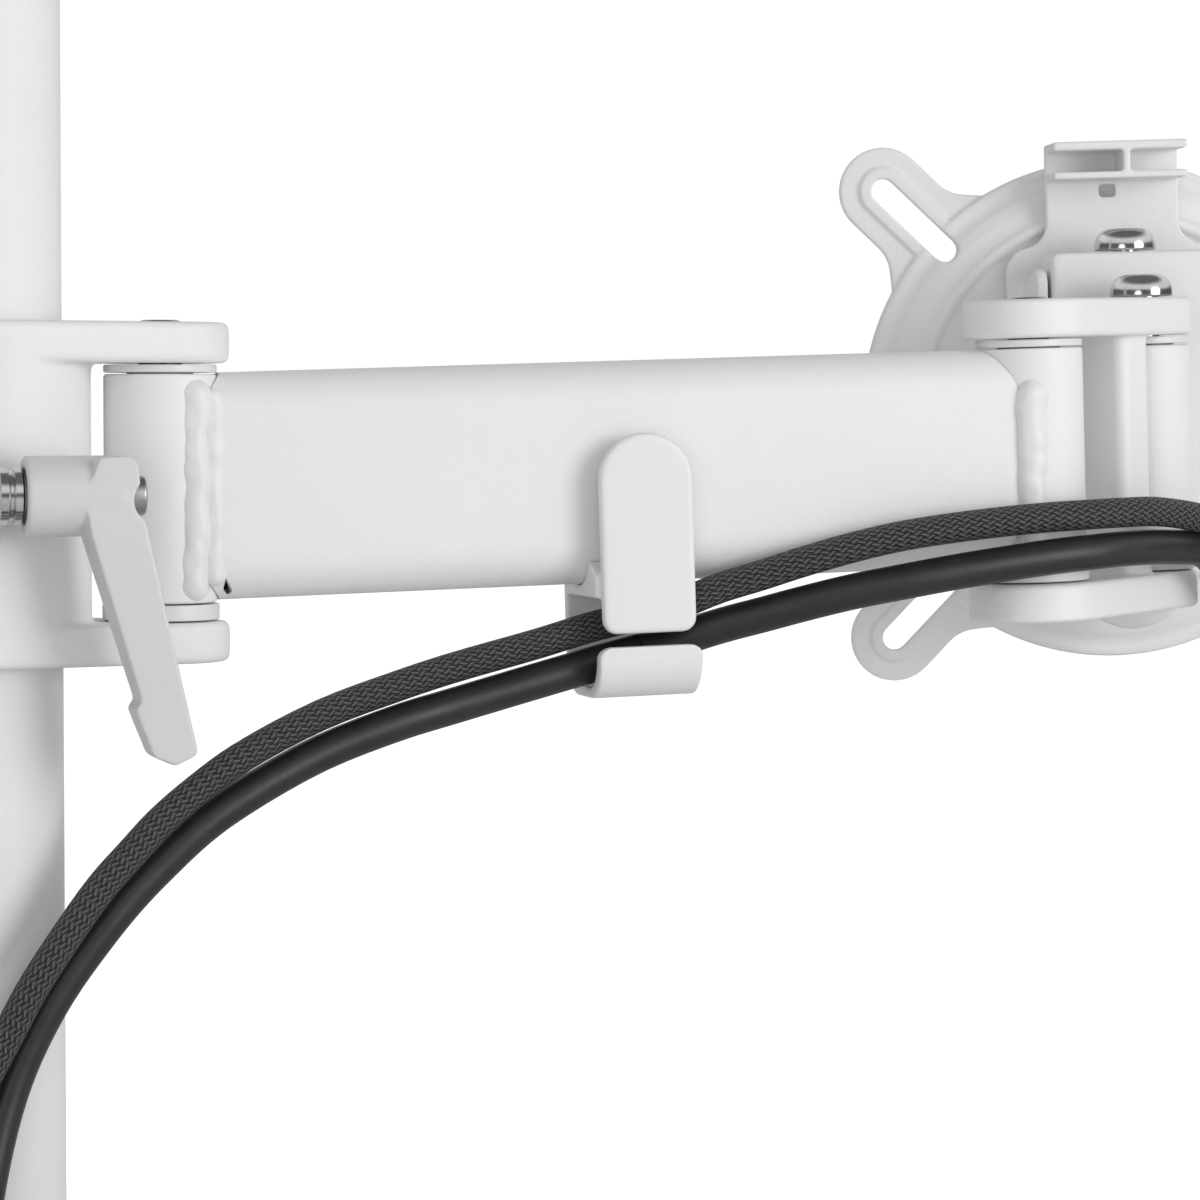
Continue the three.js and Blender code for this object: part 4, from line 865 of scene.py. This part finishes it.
def tilt_hardware():
    made("tilt_axle_rod", rod(4.0, -26.4, 26.4, 0.6, 64, RAISED_ALONG_Y), TILT, STEEL, "tilt_bracket",
         ["tilt_axle"])
    # RAISED_ALONG_Y lays a height towards -Y. The washers are mirrored back, so theirs point to +Y
    mirrored = TILT @ Matrix.Scale(-1, 4, (0, 1, 0))
    for name, washer_low, nut_low in (("left", 18.3, -25.7), ("right", -18.6, 21.7)):
        washer = ring(8.0, BOLT_HOLE, washer_low, washer_low + 0.3, 0.1, 64, RAISED_ALONG_Y)
        made("tilt_washer_" + name + "_punched", washer, mirrored, NYLON, "tilt_bracket",
             ["tilt_washer_" + name])
        hex_nut("tilt_nut_" + name, TILT, "tilt_bracket", nut_low, nut_low + 4.0, RAISED_ALONG_Y)
    pivot = [(0, 12.35), (6.4, 12.35), (7.5, 13.2), (7.5, 15.2), (4.0, 15.2), (4.0, 26.0), (3.4, 26.25),
             (0, 26.25)]
    made("plate_pivot_turned", turned(pivot, 96, RAISED_ALONG_X), TILT, STEEL, "tilt_bracket",
         ["plate_pivot"])
    hex_nut("plate_pivot_nut", TILT, "tilt_bracket", PLATE_X + 2.3, PLATE_X + 5.9, RAISED_ALONG_X)
    disc = ring(18, BOLT_HOLE, PLATE_X - 1.4, PLATE_X - 0.3, 0.2, 96, RAISED_ALONG_X)
    made("friction_disc_cut", disc, TILT, NYLON, "tilt_bracket", ["friction_disc"])


def monitor_plate():
    """A pressed plate: a dished middle with a ridge, and four slotted limbs."""
    rise, sheet = 5.8, 2
    front = [(BOLT_HOLE, 0), (43.4, 0), (44.2, -0.8), (45.2, -1.25), (46.2, -0.9), (47.0, 0.2), (48.5, 0.9),
             (50.5, 1.3), (52.6, 2.4), (54.2, 3.9), (55.4, 4.3), (56.6, 4.0), (57.7, 4.3), (58, rise)]
    back = [(58, rise + sheet), (55.6, rise + 1.6), (53.6, 5.4), (51.8, 4.2), (49.6, 3.2), (46.6, 2.4),
            (BOLT_HOLE, sheet)]
    profile = [(r, x + PLATE_X) for r, x in front + back]
    parts = [turned(profile + profile[:1], 160, RAISED_ALONG_X)]
    cuts = []
    # the slots run along the diagonals of the two square hole patterns
    reach = 52 * math.sqrt(2)
    inner = 38 * math.sqrt(2)
    tab, lip_radius, slot_radius = 10.2, 5.6, 2.9
    face = PLATE_X + rise
    limb = arc(reach, 0, tab, -90, 90, 24) + [(62, tab), (54, 17), (50, 17), (50, -17), (54, -17), (62, -tab)]
    limb = eased(limb, [0] * 25 + [9, 0, 0, 0, 0, 9], 8)
    lip = arc(reach, 0, lip_radius, -90, 90, 20) + arc(inner + 4, 0, lip_radius, 90, 270, 20)
    slot = arc(reach, 0, slot_radius, -90, 90, 16) + arc(inner, 0, slot_radius, 90, 270, 16)
    for i in range(4):
        turn = RAISED_ALONG_X @ Matrix.Rotation(math.radians(45 + 90 * i), 4, "Z")
        parts.append(prism(limb, face, face + sheet, 0.4, 2, turn))
        parts.append(prism(lip, face - 1.0, face + 1, 0.5, 2, turn))
        cuts.append(prism(slot, PLATE_X - 4, PLATE_X + 14, 0, 3, turn))
    plate = fused("monitor_plate_pressed", parts, cuts, 0.42, 2, 0.45)
    fit_out(plate, TILT, COAT, "plate", ["monitor_plate"], 0)


# ---------------------------------------------------------------- leads

BRAID_RADIUS = 3.2
RUBBER_RADIUS = 3.8
VIDEO_COIL = (-118, -12)
POWER_COIL = (31.4, -100)
VIDEO_COIL_RADIUS = 33.0
POWER_COIL_RADIUS = 40.0
PLUG_STUB = 16.0
VIDEO_PLUG_REACH = 38.0
VIDEO_PLUG_REST = 5.6
POWER_PLUG_REACH = 46.0
POWER_PLUG_REST = 11.1

VIDEO_DESK = [
    (137.49, -6, 188.9), (127, -5.5, 186.5), (116, -6, 183.4), (96.4, -8, 178.5), (85.4, -10, 175.4),
    (68, -13.5, 169.8), (50.8, -18, 161.9), (42.3, -20.4, 156.5), (33.8, -22.6, 150), (27.5, -24.4, 143.9),
    (21.2, -26, 137.5), (13, -28, 126.9), (6.8, -29, 117.8), (1.5, -29.5, 108.2), (-5, -30.5, 97),
    (-14, -31.5, 83), (-25, -32.5, 67), (-37, -34, 50), (-51, -37, 33), (-67, -42, 17.5), (-84, -48, 7.5),
    (-100, -52.5, 3.6),
]
POWER_DESK = [
    (137.49, -5.1, 181.15), (127, -5, 178.5), (116, -6, 175.7), (96.3, -8, 170.6), (85.3, -10, 167.8),
    (68, -12.5, 161.9), (50.7, -16, 153.3), (42.2, -17.6, 147.8), (33.8, -19, 140.6), (27.5, -20.2, 134.6),
    (21.2, -21.4, 127.5), (12.9, -22.6, 116.6), (6.3, -23.4, 104.9), (2, -24.5, 94), (-2, -27.5, 79),
    (-5, -32.5, 62), (-8, -40, 45), (-11, -48, 29), (-15, -60, 15), (-19, -76, 6.5), (-20.8, -92, 4),
]
VIDEO_HEAD = [
    (137.51, -6, 188.9), (142.5, -7.6, 189.7), (148, -9.4, 192.3), (154, -10.6, 194.7), (162, -12.5, 197.2),
    (170, -14, 199.8), (181, -15.3, 202.9), (192, -16, 205.3), (203, -16.3, 206.9), (214, -16.3, 208.1),
    (225, -15.8, 209), (235, -14.6, 209.5), (243, -12.6, 209.8), (251, -9.3, 209.9), (258, -5.8, 209.3),
    (265.5, -1.6, 208.1), (272.5, 0.3, 206), (279, 0.8, 202), (285, 1.2, 195), (289, 1.6, 185.5),
    (291, 2, 172), (291.5, 2, 157), (291.5, 2, 142),
]
POWER_HEAD = [
    (137.51, -5.1, 181.15), (142.5, -5.2, 181.9), (148, -5.8, 184.3), (155, -7.5, 186.6), (163, -9.8, 188.8),
    (171, -12.6, 191.1), (181, -15, 193.6), (192, -16.6, 195.7), (203, -17.3, 197.6), (214, -17.4, 199.2),
    (225, -16.8, 200.6), (235, -15, 201.5), (243, -12.2, 202), (251, -8.2, 202.2), (258, -3.6, 202),
    (263.2, 0.4, 201.8), (268.3, 4.6, 201.2), (274, 9, 198), (280, 13, 192), (285.5, 16.5, 183),
    (289.5, 19.5, 171), (291.5, 21.5, 157), (292, 22, 142),
]


def coil_turns(centre, mean_radius, wire, first, way, plug_reach, plug_rest):
    """Points of a neat round coil, two turns side by side in three layers. way is 1 or -1.

    The lead comes in beside the coil at the point called first, and leaves it towards +Y."""
    steps = 24
    turns = 6
    outside, inside = mean_radius + wire, mean_radius - wire
    order = [(outside, 0), (inside, 0), (inside, 1), (outside, 1), (inside, 2), (outside, 2), (outside, 2)]
    start = math.atan2(first[1] - centre[1], first[0] - centre[0])
    reach = math.hypot(first[0] - centre[0], first[1] - centre[1])
    end = 0.0 if way > 0 else math.pi
    sweep = ((end - start) * way) % (2 * math.pi) + (turns - 1) * 2 * math.pi
    count = round(sweep / (2 * math.pi) * steps)
    points = []
    for k in range(1, count + 1):
        turned_by = sweep * k / count
        whole = turned_by / (2 * math.pi)
        now, following = order[int(whole)], order[int(whole) + 1]
        share = smooth_share((whole - int(whole) - 0.6) / 0.4)
        radius = now[0] + (following[0] - now[0]) * share
        layer = now[1] + (following[1] - now[1]) * share
        arriving = 1 - smooth_share(turned_by / 1.2)
        radius += (reach - outside) * arriving
        angle = start + way * turned_by
        points.append((centre[0] + radius * math.cos(angle), centre[1] + radius * math.sin(angle),
                       wire * (1 + 2 * layer) + 0.05 + (first[2] - wire) * arriving))
    x, _, high = points[-1]
    run = plug_reach - PLUG_STUB
    for share in (0.35, 0.7, 1.0):
        points.append((x, centre[1] + run * share, high + (plug_rest - high) * smooth_share(share)))
    return points


def smooth_share(share):
    """0 to 1 with a gentle start and end."""
    share = max(0.0, min(1.0, share))
    return share * share * (3 - 2 * share)


def smooth_run(points, steps=6):
    """A centripetal curve through the points."""
    knots = [Vector(p) for p in points]
    knots = [knots[0] * 2 - knots[1]] + knots + [knots[-1] * 2 - knots[-2]]
    run = []
    for a, b, c, d in zip(knots, knots[1:], knots[2:], knots[3:]):
        t0 = 0.0
        t1 = t0 + math.sqrt((b - a).length)
        t2 = t1 + math.sqrt((c - b).length)
        t3 = t2 + math.sqrt((d - c).length)
        for k in range(steps):
            t = t1 + (t2 - t1) * k / steps
            a1 = a * ((t1 - t) / (t1 - t0)) + b * ((t - t0) / (t1 - t0))
            a2 = b * ((t2 - t) / (t2 - t1)) + c * ((t - t1) / (t2 - t1))
            a3 = c * ((t3 - t) / (t3 - t2)) + d * ((t - t2) / (t3 - t2))
            b1 = a1 * ((t2 - t) / (t2 - t0)) + a2 * ((t - t0) / (t2 - t0))
            b2 = a2 * ((t3 - t) / (t3 - t1)) + a3 * ((t - t1) / (t3 - t1))
            run.append(tuple(b1 * ((t2 - t) / (t2 - t1)) + b2 * ((t - t1) / (t2 - t1))))
    run.append(tuple(knots[-2]))
    return run


def in_metres(point):
    return tuple(MM * c for c in point)


def lead(name, points, radius, material):
    """A round lead along its run, as a mesh whose UV map goes round it and along it in metres."""
    curve = bpy.data.curves.new(name, "CURVE")
    curve.dimensions = "3D"
    spline = curve.splines.new("POLY")
    spline.points.add(len(points) - 1)
    for knot, point in zip(spline.points, points):
        knot.co = (*in_metres(point), 1)
    curve.bevel_depth = radius * MM
    curve.bevel_resolution = 6
    curve.use_fill_caps = True
    wire = bpy.data.objects.new(name + "_wire", curve)
    bpy.context.scene.collection.objects.link(wire)
    graph = bpy.context.evaluated_depsgraph_get()
    mesh = bpy.data.meshes.new_from_object(wire.evaluated_get(graph))
    bpy.data.objects.remove(wire)
    piece = bpy.data.objects.new(name, mesh)
    bpy.context.scene.collection.objects.link(piece)
    reached = [0.0]
    for a, b in zip(points, points[1:]):
        reached.append(reached[-1] + (Vector(b) - Vector(a)).length * MM)
    for corner in mesh.uv_layers["UVMap"].data:
        along, around = corner.uv
        whole = along * (len(points) - 1)
        knot = min(int(whole), len(points) - 2)
        corner.uv = (around, reached[knot] + (reached[knot + 1] - reached[knot]) * (whole - knot))
    mesh.materials.clear()
    mesh.materials.append(material)
    for face in mesh.polygons:
        face.use_smooth = True
    mesh.set_sharp_from_angle(angle=math.radians(50))
    return piece


def desk_lead(name, route, coil, plug_node, radius, material, slot):
    """A lead from the clip to its plug, with its coil on the desk."""
    points = smooth_run(route + coil, 4)
    piece = lead(name + "_drawn", points, radius, material)
    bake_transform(piece)
    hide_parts(name, name.replace("lead_desk", "coil"))


def head_lead(name, route, plug_node, radius, material, slot):
    """A lead from the clip round the elbow to its connector for the monitor."""
    points = smooth_run(route)
    piece = lead(name + "_drawn", points, radius, material)
    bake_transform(piece)
    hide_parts(name)


def leads():
    video_coil = coil_turns(VIDEO_COIL, VIDEO_COIL_RADIUS, BRAID_RADIUS, VIDEO_DESK[-1], -1,
                            VIDEO_PLUG_REACH, VIDEO_PLUG_REST)
    power_coil = coil_turns(POWER_COIL, POWER_COIL_RADIUS, RUBBER_RADIUS, POWER_DESK[-1], 1,
                            POWER_PLUG_REACH, POWER_PLUG_REST)
    node = frame["nodes"]
    braided = (BRAID_RADIUS, BRAID, "braided_sleeve")
    rubber = (RUBBER_RADIUS, JACKET, "cable_rubber")
    desk_lead("video_lead_desk", VIDEO_DESK, video_coil, node["video_plug"], *braided)
    desk_lead("power_lead_desk", POWER_DESK, power_coil, node["mains_plug"], *rubber)
    head_lead("video_lead_head", VIDEO_HEAD, node["video_connector"], *braided)
    head_lead("power_lead_head", POWER_HEAD, node["power_connector"], *rubber)


# ---------------------------------------------------------------- floor, light and camera

GLOSSY_SHARE = 0.9                           # how much of the mirrored room shiny parts see
MIX_FACTOR, MIX_A, MIX_B, MIX_RESULT = 0, 6, 7, 2   # a colour Mix node's sockets


def stage():
    world = bpy.data.worlds.new("white_room")
    world.use_nodes = True
    tree = world.node_tree
    rays = tree.nodes.new("ShaderNodeLightPath")
    split = tree.nodes.new("ShaderNodeSeparateXYZ")
    tree.links.new(tree.nodes.new("ShaderNodeTexCoord").outputs["Generated"], split.inputs[0])
    height = math_node(tree, "MULTIPLY_ADD", split.outputs["Z"], 0.5, 0.5)
    room = colour_ramp(tree, height, [(0.0, (0.64,) * 3), (0.5, (0.69,) * 3), (1.0, (0.34,) * 3)])
    # what shiny parts mirror: a dark room at eye level between a white desk and a soft box above
    mirrored = colour_ramp(tree, height, [(0.3, (0.85,) * 3), (0.44, (0.5,) * 3), (0.47, (0.04,) * 3),
                                          (0.58, (0.05,) * 3), (0.66, (0.9,) * 3), (0.8, (0.95,) * 3),
                                          (0.9, (0.15,) * 3)])
    glossy = tree.nodes.new("ShaderNodeMix")
    glossy.data_type = "RGBA"
    glossy_share = math_node(tree, "MULTIPLY", rays.outputs["Is Glossy Ray"], GLOSSY_SHARE)
    tree.links.new(glossy_share, glossy.inputs[MIX_FACTOR])
    tree.links.new(room, glossy.inputs[MIX_A])
    tree.links.new(mirrored, glossy.inputs[MIX_B])
    seen = tree.nodes.new("ShaderNodeMix")
    seen.data_type = "RGBA"
    tree.links.new(rays.outputs["Is Camera Ray"], seen.inputs[MIX_FACTOR])
    tree.links.new(glossy.outputs[MIX_RESULT], seen.inputs[MIX_A])
    seen.inputs[MIX_B].default_value = (1.02, 1.02, 1.02, 1)
    tree.links.new(seen.outputs[MIX_RESULT], tree.nodes["Background"].inputs["Color"])
    tree.nodes["Background"].inputs["Strength"].default_value = 1.0
    bpy.context.scene.world = world
    bm = bmesh.new()
    bmesh.ops.create_grid(bm, x_segments=1, y_segments=1, size=12)
    floor = shape_object(bm, "floor")
    floor.data.transform(Matrix.Translation((0, 0, -0.0005)))
    paint, tree, principled = shader("pale_floor", 0.9, specular=0.1)
    principled.inputs["Base Color"].default_value = (0.9, 0.9, 0.9, 1)
    principled.inputs["Emission Color"].default_value = (1, 1, 1, 1)
    seen = tree.nodes.new("ShaderNodeLightPath").outputs["Is Camera Ray"]
    tree.links.new(math_node(tree, "MULTIPLY", seen, 0.7), principled.inputs["Emission Strength"])
    floor.data.materials.append(paint)


def lamp(name, where, target, size, watts):
    light = bpy.data.lights.new(name, "AREA")
    light.shape = "DISK"
    light.size = size
    light.energy = watts
    holder = bpy.data.objects.new(name, light)
    bpy.context.scene.collection.objects.link(holder)
    holder.location = where
    holder.rotation_euler = (Vector(target) - Vector(where)).to_track_quat("-Z", "Y").to_euler()


def camera():
    lens = bpy.data.cameras.new("camera")
    lens.lens = 129.27
    lens.sensor_width = 36.0
    lens.clip_start = 0.05
    holder = bpy.data.objects.new("camera", lens)
    bpy.context.scene.collection.objects.link(holder)
    yaw, pitch = math.radians(15.36), math.radians(2.57)
    holder.location = (-0.10855, -0.87042, 0.2324)
    holder.rotation_euler = (math.pi / 2 - pitch, 0, -yaw)
    bpy.context.scene.camera = holder


bpy.context.scene.view_settings.view_transform = "Standard"
stage()
lamp("key", where=(1.05, -1.25, 0.45), target=(0.15, 0, 0.2), size=0.9, watts=9.5)
lamp("fill", where=(-0.5, -1.1, 0.2), target=(0.0, 0, 0.18), size=0.6, watts=1.5)
camera()

base_and_pole()
collar()
flush_pin("shoulder_pin", SHOULDER, "collar")
clamp_parts()
lever_spring()
lever_handle()
bush("shoulder_bush", SHOULDER)
bush("elbow_bush", ELBOW)
BEARINGS = (
    ("shoulder", SHOULDER, "arm", BUSH_RADIUS),
    ("elbow", ELBOW, "arm", BUSH_RADIUS),
    ("head", HEAD, "head_block", BARREL_RADIUS),
)
for end, spot, part, barrel in BEARINGS:
    bearing(end + "_bearing_top", spot, part, barrel, True)
    bearing(end + "_bearing_bottom", spot, part, barrel, False)
arm_tube()
welds()
cable_clip()
knuckle()
flush_pin("elbow_pin", KNUCKLE, "knuckle")
button_bolt("pivot_bolt", HEAD_PIVOT, "knuckle", low=HALF_CLEVIS + GAP, shank=4.0,
            shank_low=-HALF_CLEVIS + 0.6)
hex_nut("pivot_nut", HEAD_PIVOT, "knuckle", -HALF_CLEVIS + 0.3, -HALF_CLEVIS + 5.3)
head_block()
button_bolt("tension_bolt", HEAD @ Matrix.Translation((TENSION_X, 0, 0)), "head_block", low=BLOCK_TOP + GAP,
            shank=3.0, shank_low=17.4)
tilt_bracket()
tilt_hardware()
monitor_plate()
leads()

FINISHES = {
    "powder_coat": COAT, "white_plastic": PLASTIC, "nylon": NYLON, "chrome": CHROME, "steel": STEEL,
    "foam_pad": FOAM, "braided_sleeve": BRAID, "cable_rubber": MOULDED_BLACK,
}
SLOTS = {part["node"]: part["material_slot"] for part in frame["record"]["subparts"]}
for name, node in frame["nodes"].items():
    node.data.materials.clear()
    node.data.materials.append(FINISHES[SLOTS[name]])
